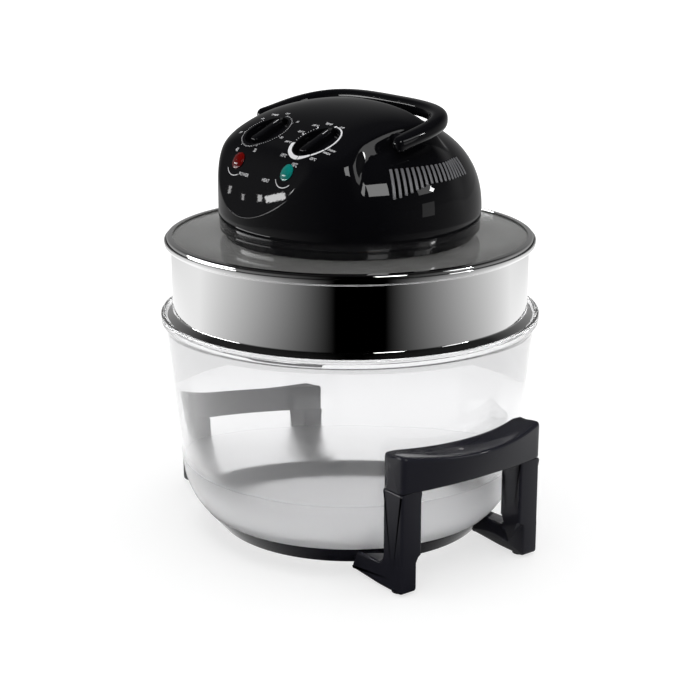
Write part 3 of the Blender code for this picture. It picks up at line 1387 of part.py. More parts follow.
def make_inlet(body):
    """The mains inlet in the rear of the cover, a shrouded socket."""
    width, depth, height = INLET_SIZE
    back = HEAD_R + INLET_PROUD
    bm = bmesh.new()
    box(bm, INLET_SIZE, (0, back - depth / 2, INLET_Z))
    inlet = add("mains_inlet", bm, GLOSS_BLACK, body)
    hollow = bmesh.new()
    size = (width - 2 * INLET_WALL, INLET_RECESS + CUT_OVERRUN, height - 2 * INLET_WALL)
    box(hollow, size, (0, back - INLET_RECESS + size[1] / 2, INLET_Z))
    combine(inlet, helper("inlet_hollow", hollow, body), "DIFFERENCE")
    return inlet


def build():
    clear_scene()
    stand = empty("stand_body", (0, 0, 0))
    bowl = empty("bowl_body", (0, 0, BOWL_BASE_Z), stand)
    extender = empty("extender_body", (0, 0, LEDGE_Z), bowl)
    lid = empty("lid_body", (0, 0, LID_FOOT_Z), extender)
    handle = empty("handle_body", (0, PIVOT_Y, PIVOT_Z), lid)
    timer = empty("timer_body", dial_point(-1), lid)
    temperature = empty("temperature_body", dial_point(1), lid)
    fan = empty("fan_body", (0, 0, STATOR_Z), lid)

    make_stand(stand)
    make_grip("left_grip", -1, stand)
    make_grip("right_grip", 1, stand)
    make_grip_studs(stand)
    make_pads(stand)
    make_bowl(bowl)
    make_extender(extender)
    make_lid_glass(lid)
    make_lid_rim(lid)
    make_gasket(lid)
    make_collar(lid)
    make_cover(lid)
    make_lens("power_lens", -1, RED_LENS, lid)
    make_lens("heat_lens", 1, GREEN_LENS, lid)
    make_lamp_body("power_lamp_holder", -1, lid)
    make_lamp_body("heat_lamp_holder", 1, lid)
    make_timer(lid)
    make_thermostat(lid)
    make_bulb(lid)
    make_capillary(lid)
    make_pan(lid)
    make_pan_screws(lid)
    make_halogen_lamp(lid)
    make_socket("front_lamp_socket", -1, lid)
    make_socket("rear_lamp_socket", 1, lid)
    make_lamp_clips(lid)
    make_shroud(lid)
    make_guard(lid)
    make_bridge(lid)
    make_stator(lid)
    make_coil(lid)
    make_bearing_bracket("lower_bearing_bracket", STATOR_Z - SEAT_GAP, -1, lid)
    make_bearing_bracket("upper_bearing_bracket", STATOR_Z + STATOR_SIZE[2] + SEAT_GAP, 1, lid)
    make_bush("lower_bush", STATOR_Z - SEAT_GAP, -1, lid)
    make_bush("upper_bush", STATOR_Z + STATOR_SIZE[2] + SEAT_GAP, 1, lid)
    make_switch(lid)
    make_terminals(lid)
    make_inlet(lid)
    make_handle(handle)
    make_pivot_pin("left_pivot_pin", -1, handle)
    make_pivot_pin("right_pivot_pin", 1, handle)
    make_knob("timer_knob", -1, timer)
    make_spindle("timer_spindle", -1, timer)
    make_knob("temperature_knob", 1, temperature)
    make_spindle("thermostat_spindle", 1, temperature)
    make_shaft(fan)
    make_rotor(fan)
    make_fan("cooling_fan", COOLING_R, COOLING_Z, COOLING_HEIGHT, COOLING_BLADES, fan)
    make_fan("convection_fan", FAN_R, FAN_Z, FAN_HEIGHT, FAN_BLADES, fan)


build()
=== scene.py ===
"""Turbo convection oven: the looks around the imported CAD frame, in metres with +Z up.

New pieces are surfaces worked out with numpy: a profile turned about the axis, a section carried along
a line, or the head's height as a function of X and Y. Each piece rides on its CAD body and stands for
its CAD node."""

import json

import bmesh
import bpy
import numpy as np
from bpy.props import FloatProperty, FloatVectorProperty, IntProperty, PointerProperty
from mathutils import Matrix, Vector


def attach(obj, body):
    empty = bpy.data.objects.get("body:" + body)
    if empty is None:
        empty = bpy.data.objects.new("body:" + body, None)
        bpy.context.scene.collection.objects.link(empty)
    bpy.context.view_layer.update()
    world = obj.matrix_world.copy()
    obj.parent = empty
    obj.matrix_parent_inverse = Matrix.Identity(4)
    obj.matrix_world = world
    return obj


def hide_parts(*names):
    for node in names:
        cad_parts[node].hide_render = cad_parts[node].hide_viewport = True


bl_info = {
    "name": "Turbo convection oven",
    "version": (1, 0, 0),
    "blender": (4, 5, 0),
    "location": "View3D > Sidebar > Oven",
    "description": "Dresses the packed oven: stand, glass, steel, head, dials and a plain studio",
    "category": "Object",
}

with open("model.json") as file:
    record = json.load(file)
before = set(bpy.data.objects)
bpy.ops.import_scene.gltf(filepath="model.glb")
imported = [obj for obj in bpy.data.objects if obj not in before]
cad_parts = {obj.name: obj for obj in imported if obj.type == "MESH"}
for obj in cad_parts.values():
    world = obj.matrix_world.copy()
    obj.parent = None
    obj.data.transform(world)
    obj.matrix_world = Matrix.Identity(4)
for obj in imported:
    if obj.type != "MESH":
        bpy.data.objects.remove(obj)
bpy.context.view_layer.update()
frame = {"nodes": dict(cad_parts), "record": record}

# The CAD's sizes, repeated from the part's source
BOWL_RIM_R = 0.165
BOWL_TOP_Z = 0.197
BOWL_BASE_Z = 0.006
BOWL_WALL = 0.005
BOWL_CORNER_R = 0.058
BOWL_TAPER = np.radians(5.3)
BOWL_FLARE_Z = 0.1825
BOWL_RIM_LOW_Z = 0.1895
BOWL_LEDGE_R = 0.1614
BOWL_MOUTH_R = 0.1546
LEDGE_Z = 0.193
BOWL_RIM_OVERHANG = 0.0044
BOWL_CORNER_Z = BOWL_BASE_Z + BOWL_CORNER_R
BOWL_CORNER_TOP_Z = BOWL_CORNER_Z - BOWL_CORNER_R * np.sin(BOWL_TAPER)
BOWL_CORNER_TOP_R = (
    BOWL_RIM_R - BOWL_RIM_OVERHANG - (BOWL_FLARE_Z - BOWL_CORNER_TOP_Z) * np.tan(BOWL_TAPER)
)
BOWL_FLOOR_R = BOWL_CORNER_TOP_R - BOWL_CORNER_R * np.cos(BOWL_TAPER)
RING_INNER_R = BOWL_FLOOR_R + 0.0214
RING_BOTTOM_R = RING_INNER_R + 0.0054
RING_TOP_Z = 0.0238
UPRIGHT_IN_X = BOWL_FLOOR_R + 0.0511
UPRIGHT_OUT_X = UPRIGHT_IN_X + 0.0250
UPRIGHT_IN_Y = 0.0535
UPRIGHT_OUT_Y = 0.0745
FOOT_IN_Y = 0.0585
FOOT_Z = 0.0018
FOOT_NOTCH_Z = 0.032
ARM_ROOT_X = RING_INNER_R - 0.0123
ARM_TOP_Z = RING_TOP_Z - 0.0013
ARM_FILLET = 0.006
SEAM_Z = 0.0885
GRIP_END_Z = 0.1215
GRIP_MID_Z = 0.1150
GRIP_INNER_Z = 0.1195
GRIP_BULGE_TOP = 0.0150
GRIP_BULGE_BOTTOM = 0.0065
SEAT_GAP = 0.0003
SHEET = 0.0012
EXTENDER_TOP_Z = 0.2611
EXTENDER_R = 0.1548
EXTENDER_LIP_R = 0.1606
EXTENDER_CUP_R = 0.1604
EXTENDER_SLOPE = 0.0042
CUP_FLOOR_Z = 0.2566
LID_RIM_R = 0.1585
LID_RIM_SHEET = 0.0008
LID_RIM_LIP = 0.0050
LID_GLASS_R = 0.1565
LID_HOLE_R = 0.0860
GLASS_UNDER_Z = 0.2592
GLASS_TOP_Z = 0.2632
LID_RISE = 0.0003
COLLAR_R = 0.1075
COLLAR_WALL = 0.0028
SPIGOT_R = 0.0856
SPIGOT_WALL = 0.0040
SPIGOT_DEPTH = 0.0028
COLLAR_FOOT_Z = 0.2638
COLLAR_FLOOR_Z = 0.2666
COLLAR_FLANGE_Z = 0.2697
COLLAR_TOP_Z = 0.2722
COVER_FOOT_Z = 0.2725
HEAD_R = 0.1133
HEAD_FOOT_R = 0.1124
HEAD_SPRING_Z = 0.2850
HEAD_RISE = 0.0925
HEAD_POWER = 4.5
HEAD_WALL = 0.0028
LOW_RISE = 0.0815
LOW_POWER = 2.8
TOP_CROWN_R = 0.45
DIAL_SLOPE = np.radians(26.5)
DIAL_Y = -0.0617
DIAL_Z = 0.3541
LAMP_SLOPE = np.radians(60)
LAMP_Y = -0.0905
LAMP_Z = 0.3312
DIAL_SEAT = (DIAL_Y, DIAL_Z, DIAL_SLOPE)
LAMP_SEAT = (LAMP_Y, LAMP_Z, LAMP_SLOPE)
PANEL_TURN = 0.0075
PANEL_BLEND = 0.0174
REAR_RISE = 0.0834
REAR_POWER = 2.38
RIDGE_X = 0.079
RIDGE_WIDTH = 0.0055
RIDGE_FADE = 0.034
RIDGE_FADE_Y = -0.045
RIDGE_FADE_LENGTH = 0.040
BLOCK_BACK_Y = 0.017
BLOCK_BACK_LENGTH = 0.0256
BLOCK_FRONT_SHARE = 0.93
SHOULDER_FRONT_SHARE = 0.95
VENT_COUNT = 17
VENT_FIRST = np.radians(-17)
VENT_PITCH = np.radians(2.75)
VENT_WIDTH = 0.0022
VENT_TOP_Z = 0.3370
VENT_HIGH_Z = 0.3225
VENT_LOW_Z = 0.3135
VENT_RAMP_COUNT = 6
WELL_R = 0.0200
WELL_DEPTH = 0.0085
WELL_WALL = 0.0022
WELL_TOP_DROP = 0.0021
KNOB_X = 0.0352
KNOB_R = 0.0185
KNOB_SKIRT = 0.0030
KNOB_LIFT = 0.0008
KNOB_BAR_WIDTH = 0.0095
KNOB_BAR_HEIGHT = 0.0062
KNOB_BAR_TAPER = 0.0018
SPINDLE_R = 0.0030
LAMP_X = 0.0352
LAMP_R = 0.0064
LAMP_FLANGE = 0.0009
LAMP_FLANGE_WIDTH = 0.0010
LAMP_PROUD = 0.0030
HANDLE_X = 0.0945
HANDLE_FRONT_Y = -0.0225
HANDLE_FRONT_Z = 0.3558
HANDLE_GRIP_Y = 0.0463
HANDLE_GRIP_Z = 0.3722
HANDLE_POWER = 3.4
HANDLE_WIDTH = 0.0150
HANDLE_HEIGHT = 0.0130
PIVOT_Y = -0.0150
PIVOT_Z = 0.3575
PIVOT_R = 0.0032
PIVOT_REACH = 0.0110
INLET_WIDTH = 0.0280
INLET_HEIGHT = 0.0200
INLET_Z = 0.2920
WELD = 0.000001

# Details of the finish alone
RING_EDGE = 0.0008
LEG_FLAT_INSET = 0.0004
LEG_SPACING = 0.003
LEG_REACHES = (0.001, 0.004, 0.004, 0.0004, 0.0004, 0.009, 0.003)
NOTCH_STEP = 0.002
GRIP_EDGE_SHARE = 1.5
GRIP_SECTIONS = 49
GRIP_CLEARANCE = 0.0012
GRIP_DIP = 0.0012
GRIP_CREST = 0.004
HOLE_GAP = 0.0004
HANDLE_SECTION_POWER = 2.7
HANDLE_SLIM = 0.28
HANDLE_SLIM_LENGTH = 0.012
HANDLE_BOSS_R = 0.0056
KNOB_TOP_ROUND = 0.0014
KNOB_TOP_INSET = 0.0008
POINTER_HALF = 0.0003
POINTER_START = 0.0085
POINTER_END = 0.0145
PRINT_SINK = -0.0002
LEGEND_RING = (0.0130, 0.0136)
HEAD_CLIMB = 0.64
WELL_OPENING = 0.006
RIB_REACH_SHARE = 0.93
RIB_WIDTH_SHARE = 0.94
RIB_POWER = 2.3
RIB_END = 0.0008

# How finely the surfaces are cut
ROUND_STEPS = 160
FINE_STEPS = 200
HEAD_STEPS = 288
SMOOTH_ANGLE = np.radians(38)

# The photograph's camera: it stands at a distance from the target, to the right of the front
CAMERA_TARGET = (0.0, 0.0, 0.15707)
PHOTO_SIZE = 700
PHOTO_FOCAL_PIXELS = 1694.96
SENSOR_WIDTH = 36.0


# Properties

def length(name, description, default):
    return FloatProperty(name=name, description=description, default=default, unit="LENGTH")


def angle(name, description, degrees):
    default = float(np.radians(degrees))
    return FloatProperty(name=name, description=description, default=default, subtype="ANGLE")


def colour(name, description, *default):
    return FloatVectorProperty(name=name, description=description, default=default, subtype="COLOR")


class OvenSizes(bpy.types.PropertyGroup):
    """Sizes of the finish that a user may change without touching the CAD."""

    edge_round: length("Edge rounding", "Radius on the moulded parts' edges", 0.0022)
    rib_proud: length("Rib height", "How far the vent ribs stand proud", 0.0006)
    print_lift: length("Print thickness", "Thickness of the dial prints", 0.00012)
    dial_ring: length("Dial ring radius", "Radius of the dials' printed rings", 0.0227)
    facets: IntProperty(name="Lens facets", description="Facets round each lens", default=16, min=6)


class OvenColours(bpy.types.PropertyGroup):
    """Colours of the mouldings, metals, lenses and prints."""

    head: colour("Head", "Colour of the glossy head", 0.004, 0.004, 0.005)
    stand: colour("Stand", "Colour of the stand", 0.020, 0.020, 0.027)
    steel: colour("Steel", "Colour of the polished steel", 0.86, 0.86, 0.86)
    smoke: colour("Smoked glass", "Colour of the lid's glass", 0.50, 0.50, 0.49)
    print: colour("Print", "Colour of the dial prints", 0.82, 0.82, 0.84)
    power: colour("Power lens", "Colour of the power lamp", 0.20, 0.004, 0.003)
    heat: colour("Heat lens", "Colour of the heat lamp", 0.006, 0.30, 0.26)


class StudioSettings(bpy.types.PropertyGroup):
    """The photograph's camera and the studio's lights."""

    distance: length("Camera distance", "From the camera to its target", 1.5)
    elevation: angle("Camera elevation", "Height angle of the camera", 16.61)
    azimuth: angle("Camera azimuth", "Turn of the camera to the right of the front", 52.90)
    lamp_power: FloatProperty(
        name="Lamp level", description="Level of all the softboxes together", default=1.0)
    ambient: FloatProperty(
        name="Ambient", description="Level of the even light from all round", default=0.68)
    floor_radius: length("Floor radius", "Radius of the pale floor", 9.0)


# Surfaces

def smooth_step(value):
    """Zero below 0, one above 1, and three squares less two cubes of the value between."""
    value = np.clip(value, 0, 1)
    return value * value * (3 - 2 * value)


def smooth_min(a, b, blend):
    """The lower of two heights, lowered by the square of their nearness where they cross."""
    share = np.maximum(blend - np.abs(a - b), 0) / blend
    return np.minimum(a, b) - share * share * blend / 4


def unit(vectors):
    """Each vector divided by its length."""
    return vectors / np.maximum(np.linalg.norm(vectors, axis=-1, keepdims=True), WELD)


def left_of(vectors):
    """Plane vectors turned by a quarter turn to their left."""
    return np.stack([-vectors[:, 1], vectors[:, 0]], -1)


def full_turn(steps):
    return np.linspace(0, 2 * np.pi, steps, endpoint=False)


def polar(radius, turns):
    """Flat points whose X is the radius times the turn's cosine, and Y the radius times its sine."""
    return np.stack([radius * np.cos(turns), radius * np.sin(turns)], -1)


def lifted(flat, height):
    """Flat points as points in space, all at one height."""
    return np.concatenate([flat, np.full((len(flat), 1), height)], 1)


def both_sides(shell):
    """A shell for the left side and the same for the right: X times minus one and times one."""
    points, quads = shell
    return [(points * (side, 1, 1), quads) for side in (-1, 1)]


def panel_height(y):
    """Two planes over Y, the dials' and the steeper lamps', joined by a smooth minimum."""
    dials = DIAL_Z + np.tan(DIAL_SLOPE) * (y - DIAL_Y)
    lamps = LAMP_Z + np.tan(LAMP_SLOPE) * (y - LAMP_Y)
    return smooth_min(dials, lamps, PANEL_TURN)


def dome(radius, rise, power):
    """A superellipse over the spring line: the rise times the power root of one less the share to the
    power, where the share is the radius over the head's."""
    share = np.minimum(radius / HEAD_R, 1)
    return HEAD_SPRING_Z + rise * (1 - share**power) ** (1 / power)


def head_height(x, y):
    """The cover's outer height.

    A full crown, whose rise falls with the square of X, is cut by the panel. Beside that raised block
    the height drops to a lower crown by a smooth step, and behind it to the rear crown by another."""
    radius = np.hypot(x, y)
    full = dome(radius, HEAD_RISE - x * x / (2 * TOP_CROWN_R), HEAD_POWER)
    panel = panel_height(y)
    full = smooth_min(full, panel, PANEL_BLEND)
    low = smooth_min(dome(radius, LOW_RISE, LOW_POWER), panel, PANEL_BLEND)
    fade = RIDGE_WIDTH + RIDGE_FADE * smooth_step((RIDGE_FADE_Y - y) / RIDGE_FADE_LENGTH)
    beside = smooth_step((np.abs(x) - RIDGE_X) / fade)
    behind = smooth_step((y - BLOCK_BACK_Y) / BLOCK_BACK_LENGTH)
    level = full + (np.minimum(low, full) - full) * beside
    return level + (np.minimum(dome(radius, REAR_RISE, REAR_POWER), level) - level) * behind


def straight_sided(turn, half_width, front_share):
    """Reach from the axis to a round outline with two straight sides: the smooth minimum of both."""
    flat = half_width / np.maximum(np.abs(np.cos(turn)), WELD)
    return smooth_min(HEAD_R * front_share, flat, RIDGE_WIDTH)


def skin(grid, around=True, closed=False):
    """Quads between the neighbours of a grid of rows and columns of points. Around joins the last
    column to the first, and closed joins the last row to the first."""
    rows, columns = grid.shape[:2]
    index = np.arange(rows * columns).reshape(rows, columns)
    if around:
        index = np.concatenate([index, index[:, :1]], 1)
    if closed:
        index = np.concatenate([index, index[:1]], 0)
    corners = (index[:-1, :-1], index[:-1, 1:], index[1:, 1:], index[1:, :-1])
    return grid.reshape(-1, 3), np.stack(corners, -1).reshape(-1, 4)


def turned(profile, closed=True, steps=ROUND_STEPS):
    """Each profile point (radius, height) goes round Z: X is the radius times the cosine of the turn
    and Y is the radius times its sine."""
    rings = [lifted(polar(radius, full_turn(steps)), height) for radius, height in profile]
    return skin(np.stack(rings), closed=closed)


def rounded(points, reach, steps=4, closed=True):
    """Each corner b becomes the curve a (1 - t)^2 + 2 b t (1 - t) + c t^2, where a and c lie one reach
    before and after it, or less where a side is short."""
    points = np.asarray(points, float)
    reach = np.broadcast_to(np.asarray(reach, float), len(points))[:, None]
    ends = []
    for shift in (1, -1):
        side = np.roll(points, shift, 0) - points
        length = np.maximum(np.linalg.norm(side, axis=1, keepdims=True), WELD)
        ends.append(points + side / length * np.minimum(reach, 0.48 * length))
    t = np.linspace(0, 1, steps + 1)[None, :, None]
    a, c = ends[0][:, None], ends[1][:, None]
    curves = a * (1 - t) ** 2 + 2 * points[:, None] * t * (1 - t) + c * t**2
    if closed:
        return curves.reshape(-1, points.shape[1])
    middle = curves[1:-1].reshape(-1, points.shape[1])
    return np.concatenate([points[:1], middle, points[-1:]])


def beside(path, distance):
    """The path moved to its left by a distance, along the mean normal of the two sides at a point."""
    path = np.asarray(path, float)
    side = unit(np.diff(path, axis=0))
    into = np.concatenate([side[:1], side])
    normal = left_of(unit(into + np.concatenate([side, side[-1:]])))
    reach = distance / np.maximum((normal * left_of(into)).sum(1), 0.5)
    return path + normal * reach[:, None]


def arc(centre, radius, start, end, steps):
    """Points at a radius from a centre, with the angle running evenly from start to end."""
    return np.asarray(centre) + polar(radius, np.linspace(start, end, steps + 1))


def swept(line, across, up, section, ends=5):
    """A section carried along a line: each point is the line's, plus across and up times the section's
    two numbers. The ends close by a quarter round: the section shrinks by a cosine and moves out by a
    sine."""
    along = unit(np.gradient(line, axis=0))
    half = np.abs(section[:, 1]).max()
    rows = [line[:, None] + across[:, None] * section[None, :, :1] + up[:, None] * section[None, :, 1:]]
    turns = np.linspace(0, np.pi / 2, ends + 1)[1:]
    for end, sign in ((0, -1), (-1, 1)):
        shrink = np.cos(turns)[:, None, None]
        out = (line[end] + np.outer(np.sin(turns), along[end]) * half * sign)[:, None]
        cap = out + (across[end] * section[:, :1] + up[end] * section[:, 1:])[None] * shrink
        rows = [cap[::-1]] + rows if sign < 0 else rows + [cap]
    return skin(np.concatenate(rows))


def superellipse(width, height, power, sides):
    """Points of a superellipse: cosine and sine, each to two over the power, times the half sizes."""
    cosine, sine = polar(1, full_turn(sides)).T
    x = np.sign(cosine) * np.abs(cosine) ** (2 / power) * width / 2
    y = np.sign(sine) * np.abs(sine) ** (2 / power) * height / 2
    return np.stack([x, y], -1)


def outline_stack(outline, levels):
    """An outline drawn at several levels: each is (height, inset), and the inset pulls the outline in
    along its own normal. The first and last level shrink to their middle and close the form."""
    inward = left_of(unit(np.roll(outline, -1, 0) - np.roll(outline, 1, 0)))
    rows = [lifted(outline + inward * inset, height) for height, inset in levels]
    for end in (0, -1):
        middle = rows[end].mean(0, keepdims=True).repeat(len(outline), 0)
        rows = [middle] + rows if end == 0 else rows + [middle]
    return skin(np.stack(rows))


def quarter_levels(low, high, radius, steps=4):
    """Levels of a rounded edge at both ends: over a quarter turn each lies the radius less its sine
    from the end, with an inset of the radius less its cosine."""
    turns = np.linspace(0, np.pi / 2, steps + 1)
    foot = [(low + radius * (1 - np.sin(t)), radius * (1 - np.cos(t))) for t in turns[::-1]]
    head = [(high - radius * (1 - np.sin(t)), radius * (1 - np.cos(t))) for t in turns]
    return foot + head


def placed(shell, matrix):
    """The shell's points turned and moved by a 4 by 4 matrix."""
    points, quads = shell
    matrix = np.array(matrix)
    return points @ matrix[:3, :3].T + matrix[:3, 3], quads


def rod(radius, start, end, steps=24):
    """A round bar: a circle about the line at both ends, each closed to its middle."""
    start, end = Vector(start), Vector(end)
    turn = (end - start).to_track_quat("Z", "Y").to_matrix().to_4x4()
    circle = polar(radius, full_turn(steps))
    shell = outline_stack(circle[::-1], [(0, 0), ((end - start).length, 0)])
    return placed(shell, Matrix.Translation(start) @ turn)


def panel_frame(x, seat, lift=0.0):
    """The frame of a control on the panel: X stays, Y runs up the slope, and Z stands on it. The seat
    is the control's Y and Z, and the slope of the plane that it stands on."""
    y, z, slope = seat
    place = Matrix.Translation((x, y, z))
    return place @ Matrix.Rotation(slope, 4, "X") @ Matrix.Translation((0, 0, lift))


# Pieces

def joined(shells):
    """Several shells as one list of points and one of faces."""
    points, faces, start = [], [], 0
    for shell_points, shell_faces in shells:
        points.append(np.asarray(shell_points, float))
        faces += [[int(i) + start for i in face] for face in shell_faces]
        start += len(shell_points)
    return np.concatenate(points), faces


def new_mesh(name, shells):
    """A mesh of closed shells: doubles merged, faces outwards, smooth with sharp edges kept."""
    points, faces = joined(shells)
    mesh = bpy.data.meshes.new(name)
    mesh.from_pydata(points.tolist(), [], faces)
    work = bmesh.new()
    work.from_mesh(mesh)
    bmesh.ops.remove_doubles(work, verts=work.verts, dist=WELD)
    bmesh.ops.recalc_face_normals(work, faces=work.faces)
    work.to_mesh(mesh)
    work.free()
    return smoothed(mesh)


def smoothed(mesh):
    mesh.shade_smooth()
    mesh.set_sharp_from_angle(angle=SMOOTH_ANGLE)
    return mesh


def evaluated_mesh(obj):
    bpy.context.view_layer.update()
    graph = bpy.context.evaluated_depsgraph_get()
    return bpy.data.meshes.new_from_object(obj.evaluated_get(graph))


def new_object(name, data):
    obj = bpy.data.objects.new(name, data)
    bpy.context.scene.collection.objects.link(obj)
    return obj


def piece(name, shells, body, slot, *nodes, look=None):
    dress(new_object(name, new_mesh(name, shells)), body, slot, *nodes, look=look)


def dress(obj, body, slot, *nodes, look=None):
    """Gives a piece its slot's finish or another look and its body, and hides the CAD nodes it stands
    for.
    """
    obj.data.materials.clear()
    obj.data.materials.append(finish(look or slot))
    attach(obj, body)
    if nodes:
        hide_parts(*nodes)


def combine(obj, operation, shells):
    """Joins closed shells to an object, or takes them out of it, by an exact Boolean."""
    cutter = new_object("cutter", new_mesh("cutter", shells))
    step = obj.modifiers.new("openings", "BOOLEAN")
    step.operation = operation
    step.solver = "EXACT"
    step.object = cutter
    apply_modifiers(obj)
    bpy.data.objects.remove(cutter, do_unlink=True)


def apply_modifiers(obj):
    mesh = evaluated_mesh(obj)
    obj.modifiers.clear()
    obj.data = smoothed(mesh)


# Node groups and materials

def feed(tree, sockets, values):
    """Sets each named or numbered socket to a value, or links another socket to it."""
    for key, value in values.items():
        if isinstance(value, bpy.types.NodeSocket):
            tree.links.new(value, sockets[key])
        else:
            sockets[key].default_value = value


def node(tree, kind, inputs=None, **settings):
    """A shader node of one kind, with its settings and with its inputs fed."""
    made = tree.nodes.new("ShaderNode" + kind)
    for name, value in settings.items():
        setattr(made, name, value)
    feed(tree, made.inputs, inputs or {})
    return made


def math(tree, operation, *values):
    return node(tree, "Math", dict(enumerate(values)), operation=operation).outputs[0]


def plus(tree, a, b):
    return math(tree, "ADD", a, b)


def times(tree, a, b):
    return math(tree, "MULTIPLY", a, b)


def mapped(tree, value, low, high, new_low=0.0, new_high=1.0, kind="LINEAR"):
    """A value's range from low to high moved to a new range, clamped at both ends."""
    inputs = {"Value": value, "From Min": low, "From Max": high, "To Min": new_low, "To Max": new_high}
    return node(tree, "MapRange", inputs, interpolation_type=kind).outputs["Result"]


def noise(tree, vector, scale, detail=3.0, roughness=0.55):
    """A noise texture on a vector. The scale is a number, or a socket that gives it."""
    inputs = {"Vector": vector, "Scale": scale, "Detail": detail, "Roughness": roughness}
    return node(tree, "TexNoise", inputs).outputs["Fac"]


def split(tree, vector):
    return node(tree, "SeparateXYZ", {0: vector}).outputs


def axis_distance(tree, x, y):
    """The root of X squared plus Y squared."""
    return math(tree, "SQRT", plus(tree, times(tree, x, x), times(tree, y, y)))


def new_group(name, inputs, outputs):
    """A node group that takes a place first. An input's default is a number or a colour."""
    group = bpy.data.node_groups.new(name, "ShaderNodeTree")
    group.interface.new_socket(name="Place", in_out="INPUT", socket_type="NodeSocketVector")
    for key, default in inputs.items():
        kind = "NodeSocketColor" if isinstance(default, tuple) else "NodeSocketFloat"
        socket = group.interface.new_socket(name=key, in_out="INPUT", socket_type=kind)
        socket.default_value = default
    for key in outputs:
        kind = "NodeSocketColor" if key == "Colour" else "NodeSocketFloat"
        group.interface.new_socket(name=key, in_out="OUTPUT", socket_type=kind)
    source, sink = group.nodes.new("NodeGroupInput"), group.nodes.new("NodeGroupOutput")
    return group, source.outputs, sink.inputs


def moulded_group():
    """Moulded plastic: a faint orange peel in the height, and a roughness that drifts with handling."""
    inputs = {"Peel Scale": 260.0, "Roughness": 0.1, "Drift": 0.05}
    group, given, result = new_group("moulded_skin", inputs, ("Roughness", "Height"))
    hands = noise(group, given["Place"], 14.0, 4.0, 0.6)
    drift = times(group, mapped(group, hands, 0.35, 0.75), given["Drift"])
    feed(group, result, {
        "Roughness": plus(group, given["Roughness"], drift),
        "Height": noise(group, given["Place"], given["Peel Scale"], 2.0),
    })
    return group


def spun_group():
    """Spun sheet metal: fine lines round the axis, as noise over the radius, turn and height."""
    inputs = {"Lines": 2600.0, "Roughness": 0.08, "Drift": 0.06}
    group, given, result = new_group("spun_metal", inputs, ("Roughness", "Height"))
    x, y, z = split(group, given["Place"])
    turn = times(group, math(group, "ARCTAN2", y, x), 0.0016)
    lines = node(group, "CombineXYZ", {0: axis_distance(group, x, y), 1: turn, 2: z})
    fine = noise(group, lines.outputs[0], given["Lines"])
    haze = mapped(group, noise(group, given["Place"], 11.0, 5.0, 0.6), 0.4, 0.8)
    drift = times(group, times(group, haze, fine), given["Drift"])
    feed(group, result, {"Roughness": plus(group, given["Roughness"], drift), "Height": fine})
    return group


def glass_group():
    """Pressed glass: a slow waviness in the height, and in the roughness a few wiped smears and a frost
    that grows downwards."""
    inputs = {"Wave Scale": 9.0, "Smear": 0.03, "Roughness": 0.0, "Frost": 0.0, "Frost Top": 0.09}
    group, given, result = new_group("pressed_glass", inputs, ("Roughness", "Height"))
    place = given["Place"]
    height = split(group, place)["Z"]
    frost = mapped(group, height, 0.03, given["Frost Top"], given["Frost"], 0.0, "SMOOTHSTEP")
    streaks = node(group, "VectorMath", {0: place, 1: (18.0, 18.0, 5.0)}, operation="MULTIPLY")
    wiped = mapped(group, noise(group, streaks.outputs[0], 1.0, 4.0, 0.6), 0.55, 0.85)
    even = plus(group, given["Roughness"], frost)
    feed(group, result, {
        "Roughness": plus(group, even, times(group, wiped, given["Smear"])),
        "Height": noise(group, place, given["Wave Scale"], 1.0),
    })
    return group


def grain_group():
    """Matt grain for rubber, ceramic and prints: one noise for the height and one for stains."""
    inputs = {"Grain Scale": 900.0, "Dark": (0.1, 0.1, 0.1, 1), "Light": (0.2, 0.2, 0.2, 1),
              "Roughness": 0.5}
    group, given, result = new_group("fine_grain", inputs, ("Colour", "Roughness", "Height"))
    grain = noise(group, given["Place"], given["Grain Scale"])
    stain = mapped(group, noise(group, given["Place"], 60.0, 4.0), 0.3, 0.7)
    mix = node(group, "Mix", data_type="RGBA")
    feed(group, mix.inputs, {"Factor": stain, "A": given["Dark"], "B": given["Light"]})
    rough = plus(group, given["Roughness"], times(group, grain, 0.1))
    feed(group, result, {"Colour": mix.outputs["Result"], "Roughness": rough, "Height": grain})
    return group


GROUPS = {"moulded": moulded_group, "spun": spun_group, "glass": glass_group, "grain": grain_group}
made_groups = {}
made_materials = {}


def tint(colour, share=1.0):
    """A colour times a share, as red, green, blue and alpha."""
    return tuple(channel * share for channel in colour) + (1.0,)


def plastic(colour, peel, roughness, drift, bump, **more):
    values = {"Peel Scale": peel, "Roughness": roughness, "Drift": drift}
    return "moulded", values, bump, {"Base Color": tint(colour), **more}


def glass(colour, ior, through, bump, wave, smear, values=None, more=None):
    sockets = {"Base Color": tint(colour), "IOR": ior, "Transmission Weight": through, **(more or {})}
    return "glass", {"Wave Scale": wave, "Smear": smear, **(values or {})}, bump, sockets


def metal(colour, roughness, drift, lines, strength):
    values = {"Lines": lines, "Roughness": roughness, "Drift": drift}
    return "spun", values, (0.0001, strength), {"Base Color": tint(colour), "Metallic": 1.0}


def grained(colour, dark, light, roughness, scale, bump=(0.0002, 0.3)):
    values = {"Dark": tint(colour, dark), "Light": tint(colour, light)}
    return "grain", {"Grain Scale": scale, "Roughness": roughness, **values}, bump, {}


